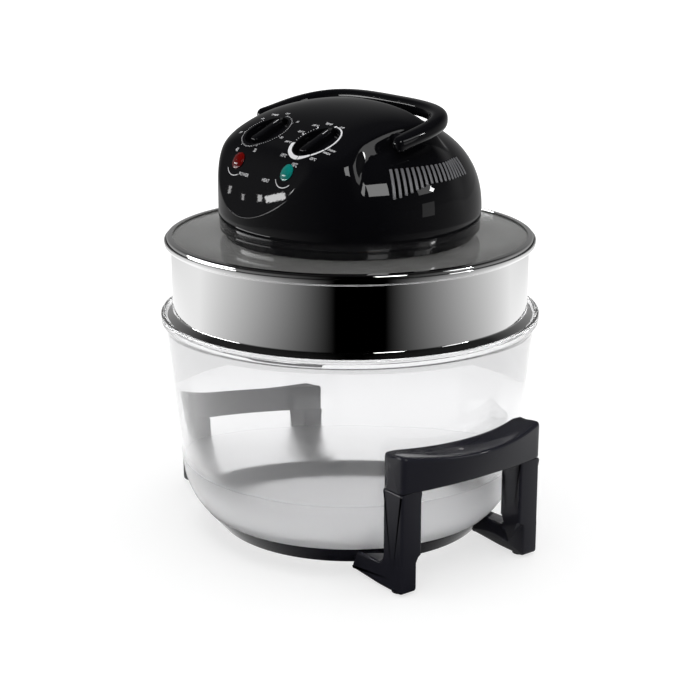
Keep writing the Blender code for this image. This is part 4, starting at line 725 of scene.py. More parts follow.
def finishes():
    """Each finish: its node group, that group's values, the bump's distance and strength, and the
    values that sit on the shader."""
    panel = bpy.context.scene.oven_colours
    frost, smoke = {"Frost": 0.70, "Frost Top": 0.095}, {"Roughness": 0.22}
    coat = {"Coat Weight": 1.0, "Coat Roughness": 0.01}
    return {
        "gloss_black": plastic(panel.head, 240.0, 0.006, 0.010, (0.0003, 0.008), IOR=1.35),
        "stand_black": plastic(panel.stand, 210.0, 0.05, 0.05, (0.0003, 0.08), IOR=1.4),
        # The vent ribs are the head's black gloss moulding: their lighter grey colour here is a painted
        # highlight.
        "rib_plastic": plastic((0.16, 0.16, 0.17), 300.0, 0.28, 0.1, (0.0003, 0.1), IOR=1.5),
        "cream_plastic": plastic((0.72, 0.68, 0.58), 400.0, 0.4, 0.1, (0.0002, 0.3)),
        "clear_glass": glass((0.92, 0.92, 0.925), 1.47, 0.94, (0.002, 0.02), 8.0, 0.02, frost),
        "smoked_glass": glass(panel.smoke, 1.5, 0.78, (0.002, 0.02), 6.0, 0.03, smoke, coat),
        "quartz": glass((0.96, 0.94, 0.9), 1.46, 0.6, (0.0005, 0.1), 40.0, 0.2),
        "red_lens": glass(panel.power, 1.49, 0.35, (0.0003, 0.1), 90.0, 0.05),
        "green_lens": glass(panel.heat, 1.49, 0.35, (0.0003, 0.1), 90.0, 0.05),
        "polished_steel": metal(panel.steel, 0.035, 0.07, 2600.0, 0.02),
        "pressed_steel": metal((0.58, 0.58, 0.57), 0.22, 0.25, 1400.0, 0.1),
        "brass": metal((0.78, 0.57, 0.24), 0.18, 0.2, 1800.0, 0.1),
        "copper": metal((0.78, 0.36, 0.17), 0.25, 0.2, 2200.0, 0.3),
        "laminations": metal((0.32, 0.31, 0.30), 0.4, 0.2, 2000.0, 0.5),
        "rubber": grained((0.020, 0.020, 0.022), 1, 1.5, 0.7, 1200.0),
        "silicone": grained((0.30, 0.30, 0.30), 1, 1.2, 0.5, 800.0),
        "ceramic": grained((0.80, 0.77, 0.70), 1, 1.1, 0.45, 700.0),
        "print_ink": grained(panel.print, 0.92, 1, 0.35, 1500.0, (0.00005, 0.2)),
    }


def finish(name):
    """A finish's Principled material, made once. One group gives what changes over it."""
    if name in made_materials:
        return made_materials[name]
    kind, values, (distance, strength), sockets = finishes()[name]
    if kind not in made_groups:
        made_groups[kind] = GROUPS[kind]()
    made = bpy.data.materials.new(name)
    made.use_nodes = True
    tree = made.node_tree
    place = node(tree, "TexCoord").outputs["Object"]
    effect = node(tree, "Group", node_tree=made_groups[kind])
    feed(tree, effect.inputs, {"Place": place, **values})
    relief = {"Distance": distance, "Strength": strength, "Height": effect.outputs["Height"]}
    normal = node(tree, "Bump", relief).outputs["Normal"]
    changing = {"Roughness": effect.outputs["Roughness"], "Normal": normal}
    if kind == "grain":
        changing["Base Color"] = effect.outputs["Colour"]
    feed(tree, tree.nodes["Principled BSDF"].inputs, {**sockets, **changing})
    made_materials[name] = made
    return made


# Operators

class OVEN_OT_stand(bpy.types.Operator):
    """Builds the stand: the ring with four legs, and the two side grips"""

    bl_idname = "oven.stand"
    bl_label = "Stand"

    def execute(self, context):
        sizes = context.scene.oven_sizes
        seat_r = BOWL_CORNER_R + SEAT_GAP
        lip = np.arcsin((BOWL_CORNER_Z - RING_TOP_Z) / seat_r)
        inner = np.pi / 2 - np.arcsin((RING_INNER_R - BOWL_FLOOR_R) / seat_r)
        seat = arc((BOWL_FLOOR_R, BOWL_CORNER_Z), seat_r, -lip, -inner, 6)
        ring = np.concatenate([[(RING_BOTTOM_R, BOWL_BASE_Z)], seat, [(RING_INNER_R, BOWL_BASE_Z)]])
        shells = [turned(rounded(ring, RING_EDGE, 3))]
        shells += [leg(side, end, sizes.edge_round) for side in (-1, 1) for end in (-1, 1)]
        piece("stand_base", shells, "stand", "stand_black", "stand_frame")
        for name, side in (("left", -1), ("right", 1)):
            grip = side_grip(side, GRIP_EDGE_SHARE * sizes.edge_round)
            piece(name + "_side_grip", [grip], "stand", "stand_black", name + "_grip")
        return {"FINISHED"}


def leg(side, end, edge):
    """One leg: its L outline in X and Z, rounded at the corners, drawn through the leg's depth in Y
    with rounded edges. Both end faces close to a point in the L's corner, where no face folds over
    another. Below the notch the inner face moves outwards by a smooth step."""
    outline = [
        (ARM_ROOT_X, BOWL_BASE_Z - 0.002), (UPRIGHT_IN_X - ARM_FILLET, FOOT_Z), (UPRIGHT_OUT_X, FOOT_Z),
        (UPRIGHT_OUT_X, SEAM_Z), (UPRIGHT_IN_X, SEAM_Z), (UPRIGHT_IN_X, ARM_TOP_Z),
        (ARM_ROOT_X + ARM_FILLET, RING_TOP_Z - 0.0025),
    ]
    curve = rounded(outline, LEG_REACHES, 6)
    dense = []
    for start, stop in zip(curve, np.roll(curve, -1, 0)):
        count = max(int(np.linalg.norm(stop - start) / LEG_SPACING), 1)
        dense.append(start + (stop - start) * np.linspace(0, 1, count, endpoint=False)[:, None])
    curve = np.concatenate(dense)
    levels = quarter_levels(UPRIGHT_IN_Y, UPRIGHT_OUT_Y, edge)
    first, last = [(y, edge + LEG_FLAT_INSET) for y in (UPRIGHT_IN_Y, UPRIGHT_OUT_Y)]
    points, quads = outline_stack(curve, [first, *levels, last])
    heart = ((UPRIGHT_IN_X + UPRIGHT_OUT_X) / 2, (FOOT_Z + ARM_TOP_Z) / 2)
    points[:len(curve), :2] = heart
    points[-len(curve):, :2] = heart
    x, z, y = points.T
    inner = np.clip((UPRIGHT_OUT_Y - y) / (UPRIGHT_OUT_Y - UPRIGHT_IN_Y), 0, 1)
    below = smooth_step((FOOT_NOTCH_Z + NOTCH_STEP / 2 - z) / NOTCH_STEP)
    below[:len(curve)] = 0
    y = y + (FOOT_IN_Y - UPRIGHT_IN_Y) * below * inner
    return np.stack([side * x, end * y, z], -1), quads


def side_grip(side, edge):
    """A side grip as sections along Y: each hugs the bowl inside and bulges outside by one less the
    share squared, with rounded corners. The ends shrink by a quarter round."""
    end = edge / UPRIGHT_OUT_Y
    rows = [grip_section(share, 0, edge) for share in np.linspace(-1, 1, GRIP_SECTIONS) * (1 - end)]
    for sign in (-1, 1):
        cap = []
        for turn in np.linspace(0, np.pi / 2, 6)[1:]:
            share = sign * (1 - end * (1 - np.sin(turn)))
            cap.append(grip_section(share, edge * (1 - np.cos(turn)), edge))
        cap.append(cap[-1].mean(0, keepdims=True).repeat(len(cap[-1]), 0))
        rows = cap[::-1] + rows if sign < 0 else rows + cap
    points, quads = skin(np.stack(rows))
    return points * (side, 1, 1), quads


def grip_section(share, inset, edge):
    """One section of the right grip, in X and Z, pulled in by an inset. Its top dips in the middle."""
    y = share * UPRIGHT_OUT_Y
    bow = 1 - share * share
    low_x = UPRIGHT_OUT_X + GRIP_BULGE_BOTTOM * bow
    high_x = UPRIGHT_OUT_X + GRIP_BULGE_TOP * bow
    high_z = GRIP_END_Z + (GRIP_MID_Z - GRIP_END_Z) * bow
    inner_x, inner_low_x = [
        max(((bowl_outer(z) + GRIP_CLEARANCE) ** 2 - y * y) ** 0.5, UPRIGHT_IN_X)
        for z in (GRIP_INNER_Z, SEAM_Z)
    ]
    middle = (inner_x + high_x) / 2
    points = [
        (inner_low_x + inset, SEAM_Z + SEAT_GAP), (low_x - inset, SEAM_Z + SEAT_GAP),
        (high_x - inset, high_z - inset), (middle + GRIP_CREST, high_z - GRIP_DIP * 0.4 - inset),
        (middle - GRIP_CREST, (high_z + GRIP_INNER_Z) / 2 - GRIP_DIP - inset),
        (inner_x + inset, GRIP_INNER_Z - inset),
    ]
    section = rounded(points, (0.0005, edge * 0.6, edge * 1.2, 0.004, 0.004, edge), 5)
    return np.stack([section[:, 0], np.full(len(section), y), section[:, 1]], -1)


def bowl_outer(z):
    """The bowl's outer radius on its tapered wall."""
    return BOWL_CORNER_TOP_R + (z - BOWL_CORNER_TOP_Z) * np.tan(BOWL_TAPER)


class OVEN_OT_glass_and_steel(bpy.types.Operator):
    """Builds the glass bowl, the steel extender ring, the lid's glass and its steel rim"""

    bl_idname = "oven.glass_and_steel"
    bl_label = "Glass and steel"

    def execute(self, context):
        for name, profile, closed, body, slot, replaced in (
            ("bowl_glass", bowl_profile(), False, "bowl", "clear_glass", "glass_bowl"),
            ("extender_band", extender_profile(), True, "extender", "polished_steel", "extender_ring"),
            ("lid_pane", pane_profile(), True, "lid", "smoked_glass", "lid_glass"),
            ("lid_band", lid_band_profile(), True, "lid", "polished_steel", "lid_rim"),
        ):
            piece(name, [turned(profile, closed, FINE_STEPS)], body, slot, replaced)
        return {"FINISHED"}


def bowl_profile():
    """The bowl's section: floor, round corner, tapered wall and flare, with the inner side a wall away,
    and a rim with a rounded bead and an inner ledge."""
    corner = arc((BOWL_FLOOR_R, BOWL_CORNER_Z), BOWL_CORNER_R, -np.pi / 2, -BOWL_TAPER, 18)
    outer = np.concatenate([corner, [(bowl_outer(BOWL_FLARE_Z), BOWL_FLARE_Z)]])
    inner = beside(outer, BOWL_WALL)
    rim = rounded(
        [
            outer[-1], (BOWL_RIM_R - 0.0012, BOWL_RIM_LOW_Z), (BOWL_RIM_R, BOWL_RIM_LOW_Z + 0.0012),
            (BOWL_RIM_R, BOWL_TOP_Z), (BOWL_LEDGE_R, BOWL_TOP_Z), (BOWL_LEDGE_R, LEDGE_Z),
            (BOWL_MOUTH_R, LEDGE_Z), inner[-1],
        ],
        (0, 0.0012, 0.001, 0.0014, 0.0009, 0.0003, 0.0022, 0), 4, False,
    )
    low = [(0, BOWL_BASE_Z)]
    high = [(0, BOWL_BASE_Z + BOWL_WALL)]
    return np.concatenate([low, outer[:-1], rim, inner[::-1][1:], high])


def sheet_profile(path, thickness, reach):
    """A sheet's section: a rounded path, and the same path a thickness to its left."""
    path = rounded(path, reach, 4, False)
    return np.concatenate([path, beside(path, thickness)[::-1]])


def extender_profile():
    """The extender's section: cup, wall and the sloped lip on the bowl's ledge."""
    low = LEDGE_Z + SEAT_GAP
    path = [
        (EXTENDER_CUP_R - SHEET, EXTENDER_TOP_Z), (EXTENDER_CUP_R - SHEET, CUP_FLOOR_Z + SHEET),
        (EXTENDER_R + SHEET, CUP_FLOOR_Z + SHEET), (EXTENDER_R - SHEET, CUP_FLOOR_Z - SHEET),
        (EXTENDER_R - SHEET, low + 2 * SHEET + EXTENDER_SLOPE),
        (EXTENDER_R + SHEET, low + EXTENDER_SLOPE), (EXTENDER_LIP_R - SHEET, low + SHEET),
        (EXTENDER_LIP_R - SHEET, low),
    ]
    return sheet_profile(path, SHEET, 0.0011)


def pane_profile():
    """The lid glass's section: a flat ring with rounded edges, a little raised towards its hole."""
    middle_r = (LID_HOLE_R + LID_GLASS_R) / 2
    under = [(LID_GLASS_R, GLASS_UNDER_Z), (middle_r, GLASS_UNDER_Z + LID_RISE * 0.75),
             (LID_HOLE_R, GLASS_UNDER_Z + LID_RISE)]
    top = [(radius, height + GLASS_TOP_Z - GLASS_UNDER_Z) for radius, height in under[::-1]]
    return rounded(under + top, 0.0009, 3)


def lid_band_profile():
    """The lid rim's section: a steel band folded over the glass edge."""
    edge_r = LID_RIM_R - LID_RIM_SHEET
    high = GLASS_TOP_Z + SEAT_GAP
    path = [
        (LID_RIM_R - LID_RIM_LIP, GLASS_UNDER_Z - SEAT_GAP), (edge_r, GLASS_UNDER_Z - SEAT_GAP),
        (edge_r, high), (LID_RIM_R - LID_RIM_LIP, high + LID_RIM_SHEET / 2),
    ]
    return sheet_profile(path, -LID_RIM_SHEET, 0.001)


class OVEN_OT_head(bpy.types.Operator):
    """Builds the heater head: the collar, the shell with its vents, and the vent ribs"""

    bl_idname = "oven.head"
    bl_label = "Heater head"

    def execute(self, context):
        collar = turned(collar_profile(), True, FINE_STEPS)
        piece("head_collar", [collar], "lid", "gloss_black", "head_base")
        shell = new_object("head_shell", new_mesh("head_shell", [head_surface()]))
        wall = shell.modifiers.new("wall", "SOLIDIFY")
        wall.thickness = HEAD_WALL
        wall.offset = -1
        wall.use_even_offset = False
        apply_modifiers(shell)
        cups = well_drums(WELL_R + WELL_WALL, -WELL_DEPTH - WELL_WALL, -WELL_TOP_DROP)
        combine(shell, "UNION", cups)
        combine(shell, "DIFFERENCE", well_drums(WELL_R, -WELL_DEPTH, WELL_OPENING))
        combine(shell, "DIFFERENCE", vent_slots() + panel_holes())
        dress(shell, "lid", "gloss_black", "head_cover")
        ribs = vent_ribs(context.scene.oven_sizes.rib_proud)
        # The ribs keep the black head's slot but take a lighter grey finish: a painted highlight along
        # each rib.
        piece("vent_ribs", ribs, "lid", "gloss_black", look="rib_plastic")
        return {"FINISHED"}


def collar_profile():
    """The collar's section: floor on the glass, spigot in its hole, wall, and flange with two beads."""
    inner_r = SPIGOT_R - SPIGOT_WALL
    points = [
        (inner_r, COLLAR_FOOT_Z - SPIGOT_DEPTH), (SPIGOT_R, COLLAR_FOOT_Z - SPIGOT_DEPTH),
        (SPIGOT_R, COLLAR_FOOT_Z), (COLLAR_R, COLLAR_FOOT_Z), (COLLAR_R, COLLAR_FLANGE_Z),
        (HEAD_FOOT_R, COLLAR_FLANGE_Z + SEAT_GAP), (HEAD_FOOT_R, COLLAR_TOP_Z),
        (COLLAR_R - COLLAR_WALL, COLLAR_TOP_Z), (COLLAR_R - COLLAR_WALL, COLLAR_FLOOR_Z),
        (inner_r, COLLAR_FLOOR_Z),
    ]
    reaches = (0.0004, 0.0004, 0.0003, 0.0012, 0.0012, 0.0009, 0.0005, 0.0004, 0.0008, 0.0004)
    return rounded(points, reaches, 4)


def head_surface():
    """The head's outer skin on a polar grid. The first rings climb the upright wall at even heights of
    the crown's superellipse, the next run to the crease, over the ridge, and in to the axis."""
    turns = 2 * np.pi * (np.arange(HEAD_STEPS) + 0.5) / HEAD_STEPS
    ones = np.ones(HEAD_STEPS)
    climb = np.linspace(0, HEAD_CLIMB, 18)[1:]
    wall = [HEAD_R * (1 - h**HEAD_POWER) ** (1 / HEAD_POWER) * ones for h in climb]
    crease = straight_sided(turns, RIDGE_X + RIDGE_WIDTH, SHOULDER_FRONT_SHARE)
    ridge = straight_sided(turns, RIDGE_X, BLOCK_FRONT_SHARE)
    slope = [wall[-1] + (crease - wall[-1]) * s for s in np.linspace(0, 1, 17)[1:]]
    over = [crease + (ridge - crease) * s for s in np.linspace(0, 1, 9)[1:]]
    top = [ridge * s for s in np.linspace(1, 0, 34)[1:]]
    reach = np.stack(wall + slope + over + top)
    x, y = reach * np.cos(turns), reach * np.sin(turns)
    rows = np.stack([x, y, head_height(x, y)], -1)
    low = [(HEAD_FOOT_R, COVER_FOOT_Z), (HEAD_FOOT_R + 0.0002, COVER_FOOT_Z + 0.0012),
           (HEAD_R - 0.0004, (COVER_FOOT_Z + HEAD_SPRING_Z) / 2), (HEAD_R, HEAD_SPRING_Z)]
    foot = [lifted(polar(radius, turns), height) for radius, height in low]
    return skin(np.concatenate([np.stack(foot), rows]))


def vent_place(i):
    """The turn of one vent slot, and the heights of its two ends."""
    ramp = np.minimum(i / VENT_RAMP_COUNT, 1)
    return VENT_FIRST + VENT_PITCH * i, VENT_LOW_Z + (VENT_HIGH_Z - VENT_LOW_Z) * ramp


def vent_slots():
    """Slots with round ends through both shoulders: a stadium in the tangent and Z, drawn along the
    radius."""
    shells = []
    start = RIDGE_X - 0.004
    half = VENT_WIDTH / 2
    for i in range(VENT_COUNT):
        turn, low = vent_place(i)
        foot = arc((0, low + half), half, np.pi, 2 * np.pi, 5)
        head = arc((0, VENT_TOP_Z - half), half, 0, np.pi, 5)
        points, quads = outline_stack(np.concatenate([foot, head]), [(start, 0), (HEAD_R + 0.004, 0)])
        a, z, r = points.T
        x, y = r * np.cos(turn) - a * np.sin(turn), r * np.sin(turn) + a * np.cos(turn)
        shells += both_sides((np.stack([x, y, z], -1), quads))
    return shells


def flank_reach(turn, heights):
    """The radius at which the head's flank has given heights at a turn, by reading it backwards."""
    radius = np.linspace(HEAD_R, RIDGE_X + 0.002, 400)
    level = head_height(radius * np.cos(turn), radius * np.sin(turn))
    return np.interp(heights, np.maximum.accumulate(level), radius)


def vent_ribs(proud):
    """Crowned ribs between the slots: a flat superellipse carried up the flank, half sunk into it."""
    shells = []
    width = VENT_PITCH * HEAD_R * RIB_REACH_SHARE - VENT_WIDTH
    section = superellipse(width * RIB_WIDTH_SHARE, 2 * proud, RIB_POWER, 14)
    for i in range(-1, VENT_COUNT):
        turn, low = vent_place(i + 0.5)
        low = VENT_LOW_Z if i < 0 else low
        heights = np.linspace(low + RIB_END, VENT_TOP_Z - RIB_END, 18)
        reach = flank_reach(turn, heights)
        line = np.stack([reach * np.cos(turn), reach * np.sin(turn), heights], -1)
        across = np.broadcast_to([-np.sin(turn), np.cos(turn), 0], line.shape)
        up = np.cross(across, unit(np.gradient(line, axis=0)))
        shells += both_sides(swept(line, across, up, section, 3))
    return shells


def panel_rod(x, seat, radius, low, high, steps=24):
    """A round bar that stands square on the panel, from a low end to a high one."""
    place = panel_frame(x, seat)
    return rod(radius, place @ Vector((0, 0, low)), place @ Vector((0, 0, high)), steps)


def well_drums(radius, low, high):
    """Two drums on the dials' axes: the cups round the wells, or the space in them."""
    return [panel_rod(side * KNOB_X, DIAL_SEAT, radius, low, high, 96) for side in (-1, 1)]


def panel_holes():
    """Holes for the spindles, lenses and pivot pins, and the inlet's window at the rear."""
    shells = []
    for side in (-1, 1):
        for x, seat, radius, low, high in (
            (KNOB_X, DIAL_SEAT, SPINDLE_R, -WELL_DEPTH - 0.004, -WELL_DEPTH + 0.003),
            (LAMP_X, LAMP_SEAT, LAMP_R, -0.010, 0.006),
        ):
            shells.append(panel_rod(side * x, seat, radius + HOLE_GAP, low, high))
        inner, outer = side * (RIDGE_X - PIVOT_REACH - 0.004), side * (RIDGE_X + RIDGE_WIDTH + 0.004)
        shells.append(rod(PIVOT_R + HOLE_GAP, (inner, PIVOT_Y, PIVOT_Z), (outer, PIVOT_Y, PIVOT_Z)))
    a, b = INLET_WIDTH / 2 + SEAT_GAP, INLET_HEIGHT / 2 + SEAT_GAP
    window = np.array([(-a, -b), (a, -b), (a, b), (-a, b)])
    points, quads = outline_stack(window, [(HEAD_R - 0.012, 0), (HEAD_R + 0.006, 0)])
    x, z, y = points.T
    shells.append((np.stack([x, y, z + INLET_Z], -1), quads))
    return shells


class OVEN_OT_handle(bpy.types.Operator):
    """Builds the folding carry handle"""

    bl_idname = "oven.handle"
    bl_label = "Carry handle"

    def execute(self, context):
        piece("folding_handle", handle_shells(), "handle", "gloss_black", "carry_handle")
        return {"FINISHED"}


def handle_shells():
    """The handle's centre line is half a superellipse in X and Y that climbs with Y, and its section is
    a superellipse. In front of the pivots the inner side moves outwards by a smooth step, so that the
    ends clear the head when the handle stands up. Two round bosses reach towards the head's cheeks."""
    turns = np.linspace(0, np.pi, 161)
    across, back = np.cos(turns), np.maximum(np.sin(turns), 0) ** (2 / HANDLE_POWER)
    x = HANDLE_X * np.sign(across) * np.abs(across) ** (2 / HANDLE_POWER)
    y = HANDLE_FRONT_Y + (HANDLE_GRIP_Y - HANDLE_FRONT_Y) * back
    z = HANDLE_FRONT_Z + (HANDLE_GRIP_Z - HANDLE_FRONT_Z) * back
    line = np.stack([x, y, z], -1)
    step = np.concatenate([[0], np.cumsum(np.linalg.norm(np.diff(line, axis=0), axis=1))])
    even = np.linspace(0, step[-1], 120)
    line = np.stack([np.interp(even, step, line[:, i]) for i in range(3)], -1)
    along = unit(np.gradient(line, axis=0))
    side = unit(np.cross(along, (0, 0, 1)))
    up = np.cross(side, along)
    section = superellipse(HANDLE_WIDTH, HANDLE_HEIGHT, HANDLE_SECTION_POWER, 36)
    bar, quads = swept(line, side, up, section, 6)
    slim = HANDLE_SLIM * smooth_step((PIVOT_Y - bar[:, 1]) / HANDLE_SLIM_LENGTH)
    bar[:, 0] += (np.sign(bar[:, 0]) * (HANDLE_X + HANDLE_WIDTH / 2) - bar[:, 0]) * slim
    shells = [(bar, quads)]
    for side_x in (-1, 1):
        ends = [(side_x * x, PIVOT_Y, PIVOT_Z) for x in (RIDGE_X + 0.0045, HANDLE_X - 0.003)]
        shells.append(rod(HANDLE_BOSS_R, *ends, 40))
    return shells


class OVEN_OT_controls(bpy.types.Operator):
    """Builds the two dials and the two lamp lenses"""

    bl_idname = "oven.controls"
    bl_label = "Dials and lamps"

    def execute(self, context):
        facets = context.scene.oven_sizes.facets
        for body, side in (("timer", -1), ("temperature", 1)):
            place = panel_frame(side * KNOB_X, DIAL_SEAT, -WELL_DEPTH)
            shells = [placed(shell, place) for shell in knob_shells()]
            piece(body + "_dial", shells, body, "gloss_black", body + "_knob")
            pointer = [placed(pointer_shell(), place)]
            piece(body + "_dial_pointer", pointer, body, "gloss_black", look="print_ink")
        for lamp, side, slot in (("power", -1, "red_lens"), ("heat", 1, "green_lens")):
            place = panel_frame(side * LAMP_X, LAMP_SEAT)
            shells = [placed(shell, place) for shell in jewel_shells(facets)]
            piece(lamp + "_jewel", shells, "lid", slot, lamp + "_lens")
        return {"FINISHED"}


def knob_shells():
    """A skirt turned about the spindle, and a bar across it: a rounded rectangle drawn at several
    levels, pulled in towards its rounded top."""
    low, high = KNOB_LIFT, KNOB_LIFT + KNOB_SKIRT
    skirt = rounded(
        [(0, low), (KNOB_R, low), (KNOB_R, low + 0.0020), (KNOB_R - 0.0016, high), (0, high)],
        (0, 0.0004, 0.0012, 0.0012, 0), 5, False,
    )
    top = high + KNOB_BAR_HEIGHT
    a, b = KNOB_BAR_WIDTH / 2, KNOB_R - KNOB_BAR_TAPER
    outline = rounded([(a, -b), (a, b), (-a, b), (-a, -b)], 0.0032, 8)
    levels = [(low + 0.0015, 0), (high, 0.0002), (top - 0.0020, KNOB_TOP_INSET)]
    for turn in np.linspace(0.2, 1.5, 6):
        inset = KNOB_TOP_INSET + KNOB_TOP_ROUND * (1 - np.cos(turn))
        levels.append((top - KNOB_TOP_ROUND * (1 - np.sin(turn)), inset))
    return [turned(skirt, False, 96), outline_stack(outline, levels)]


def pointer_shell():
    """The white line on the bar's end, towards the dial's top."""
    top = KNOB_LIFT + KNOB_SKIRT + KNOB_BAR_HEIGHT
    corners = [(POINTER_HALF, POINTER_START), (POINTER_HALF, POINTER_END),
               (-POINTER_HALF, POINTER_END), (-POINTER_HALF, POINTER_START)]
    return outline_stack(rounded(corners, 0.0002, 3), [(top - 0.0006, 0), (top + 0.0001, 0)])


def jewel_shells(facets):
    """A faceted lens: rings of facet corners at falling radii, each ring turned by half a facet, on a
    turned flange and stem. Each ring is its radius, its height and its turn in facets."""
    turns = full_turn(facets)
    stem_r = LAMP_R * 0.98
    rings = ((0, -HEAD_WALL, 0), (stem_r, -HEAD_WALL, 0), (stem_r, 0.0004, 0),
             (LAMP_R, LAMP_FLANGE, 0), (LAMP_R * 0.96, 0.0016, 0.5), (LAMP_R * 0.74, 0.0026, 0),
             (LAMP_R * 0.42, LAMP_PROUD + 0.0001, 0.5), (0, LAMP_PROUD + 0.0002, 0))
    rows = []
    for radius, height, share in rings:
        rows.append(lifted(polar(radius, turns + share * (turns[1] - turns[0])), height))
    outer, inner = LAMP_R + LAMP_FLANGE_WIDTH, LAMP_R * 0.95
    flange = rounded([(inner, 0.0003), (outer, 0.0003), (outer, LAMP_FLANGE), (inner, 0.0013)],
                     (0, 0.0001, 0.0005, 0.0002), 4)
    return [skin(np.stack(rows)), turned(flange, True, 64)]


class OVEN_OT_prints(bpy.types.Operator):
    """Prints the dials' scales and the lamps' legends on the panel"""

    bl_idname = "oven.prints"
    bl_label = "Panel prints"

    def execute(self, context):
        for print_of in (temperature_scale, timer_scale, lamp_legends):
            shells = print_of(context.scene.oven_sizes)
            piece(print_of.__name__, shells, "lid", "gloss_black", look="print_ink")
        return {"FINISHED"}


def laid(points, lift):
    """Points given in X and in Y up the slope, laid on the head: Z is its height plus a lift."""
    x, y = points[..., 0], points[..., 1]
    return np.stack([x, y, head_height(x, y) + lift], -1)


def ribbon(inner, outer, lift):
    """A thin closed print between two lines on the head, from just under the skin up to the lift."""
    rows = [laid(inner, lift), laid(outer, lift), laid(outer, PRINT_SINK), laid(inner, PRINT_SINK)]
    points, quads = skin(np.stack(rows), around=False, closed=True)
    count = len(inner)
    ends = [[0, count, 2 * count, 3 * count], [count - 1, 2 * count - 1, 3 * count - 1, 4 * count - 1]]
    return points, quads.tolist() + ends


def dial_points(centre_x, turns, radius):
    """Points of a dial's scale. A turn of 0 is up the slope, and turns run clockwise from there."""
    x = centre_x + radius * np.sin(turns)
    y = DIAL_Y + radius * np.cos(turns) * np.cos(DIAL_SLOPE)
    return np.stack([x, y], -1)


def band(centre_x, start, end, inner, outer, lift):
    """An arc of a dial's scale, whose width runs evenly from the first pair of radii to the second."""
    turns = np.radians(np.linspace(start, end, max(int(abs(end - start) / 3), 2)))
    share = np.linspace(0, 1, len(turns))
    near = inner[0] + (inner[1] - inner[0]) * share
    far = outer[0] + (outer[1] - outer[0]) * share
    return ribbon(dial_points(centre_x, turns, near), dial_points(centre_x, turns, far), lift)


def dot(centre, radius, lift):
    """A round print: two half circles that meet."""
    turns = np.linspace(0, np.pi, 9)
    left, right = [centre + np.stack([side * np.sin(turns), np.cos(turns)], -1) * radius
                   for side in (-1, 1)]
    return ribbon(left, right, lift)


def words(text, centre, size, lift, slope=DIAL_SLOPE):
    """Text as a thin closed print, centred on a place on the head. Its height lies up the slope."""
    curve = bpy.data.curves.new("words", "FONT")
    curve.body = text
    curve.size = size
    curve.align_x = "CENTER"
    curve.align_y = "CENTER"
    curve.extrude = 0.5
    curve.resolution_u = 2
    obj = new_object("words", curve)
    mesh = evaluated_mesh(obj)
    points = np.empty(len(mesh.vertices) * 3)
    mesh.vertices.foreach_get("co", points)
    points = points.reshape(-1, 3)
    faces = [list(face.vertices) for face in mesh.polygons]
    bpy.data.objects.remove(obj, do_unlink=True)
    bpy.data.curves.remove(curve)
    bpy.data.meshes.remove(mesh)
    flat = points[:, :2] * (1, np.cos(slope)) + centre
    return np.where(points[:, 2:] > 0, laid(flat, lift), laid(flat, PRINT_SINK)), faces


def temperature_scale(sizes):
    """A dot at the top, an arc in four parts that widens clockwise, a row of dots with two ticks, and
    the dial's words. Each word is its text, its turn in degrees, its gap from the ring and its size."""
    lift, radius = sizes.print_lift, sizes.dial_ring
    narrow, wide = 0.0010, 0.0036
    ends = (4, 110, 141, 173, 252)

    def at(turn, gap=0.0):
        return dial_points(KNOB_X, np.radians(turn), radius + gap)

    shells = [dot(at(0), 0.0012, lift)]
    for start, end in zip(ends, ends[1:]):
        shares = [(turn - ends[0]) / (ends[-1] - ends[0]) for turn in (start, end)]
        widths = [narrow + (wide - narrow) * share for share in shares]
        inner, outer = [[radius + sign * width / 2 for width in widths] for sign in (-1, 1)]
        shells.append(band(KNOB_X, start + 1, end - 1, inner, outer, lift))
    shells += [dot(at(turn), 0.0004, lift) for turn in np.linspace(261, 311, 9)]
    for turn in (282, 314):
        shells.append(band(KNOB_X, turn - 1.2, turn + 1.2, (radius,) * 2, (radius + 0.003,) * 2, lift))
    for text, turn, gap, size in (
        ("OFF", 17, 0.0022, 0.0032), ("THAW", 102, 0.0070, 0.0032), ("WASH", 111, 0.0070, 0.0032),
        ("125°C", 134, 0.0070, 0.0032), ("150°C", 171, 0.0052, 0.0032), ("175°C", 215, 0.0058, 0.0032),
        ("200°C", 254, 0.0070, 0.0032), ("225°C", 284, 0.0074, 0.0032), ("250°C", 309, 0.0070, 0.0032),
        ("TEMP", -25, 0.0042, 0.0038),
    ):
        shells.append(words(text, at(turn, gap), size, lift))
    return shells


def timer_scale(sizes):
    """A tick for each minute, longer at each ten, and the dial's numbers and words."""
    lift, radius = sizes.print_lift, sizes.dial_ring
    degrees = 5.0
    shells = []
    for minute in range(61):
        turn = minute * degrees
        reach = radius + (0.0018 if minute % 10 == 0 else 0.0007)
        shells.append(band(-KNOB_X, turn - 0.5, turn + 0.5, (radius - 0.0002,) * 2, (reach,) * 2, lift))
    labels = [(str(minute), minute * degrees, 0.0058, 0.0036) for minute in range(10, 61, 10)]
    labels += [("OFF", -8, 0.0048, 0.0032), ("TIMER", -37, 0.0056, 0.0038)]
    for text, turn, gap, size in labels:
        shells.append(words(text, dial_points(-KNOB_X, np.radians(turn), radius + gap), size, lift))
    return shells


def lamp_legends(sizes):
    """The words beside the two lamps, and a thin arc under each lamp."""
    lift = sizes.print_lift
    shells = []
    for text, side, gap, start, end in (
        ("POWER", -1, 0.0149, 217, 300), ("HEAT", 1, -0.0233, 215, 315)
    ):
        middle = np.array([side * LAMP_X, LAMP_Y])
        shells.append(words(text, middle + (gap, -0.0053), 0.0040, lift, LAMP_SLOPE))
        turns = np.radians(np.linspace(start, end, 20))
        ring = np.stack([np.cos(turns), np.sin(turns) * np.cos(LAMP_SLOPE)], -1)
        shells.append(ribbon(*(middle + ring * radius for radius in LEGEND_RING), lift))
    return shells


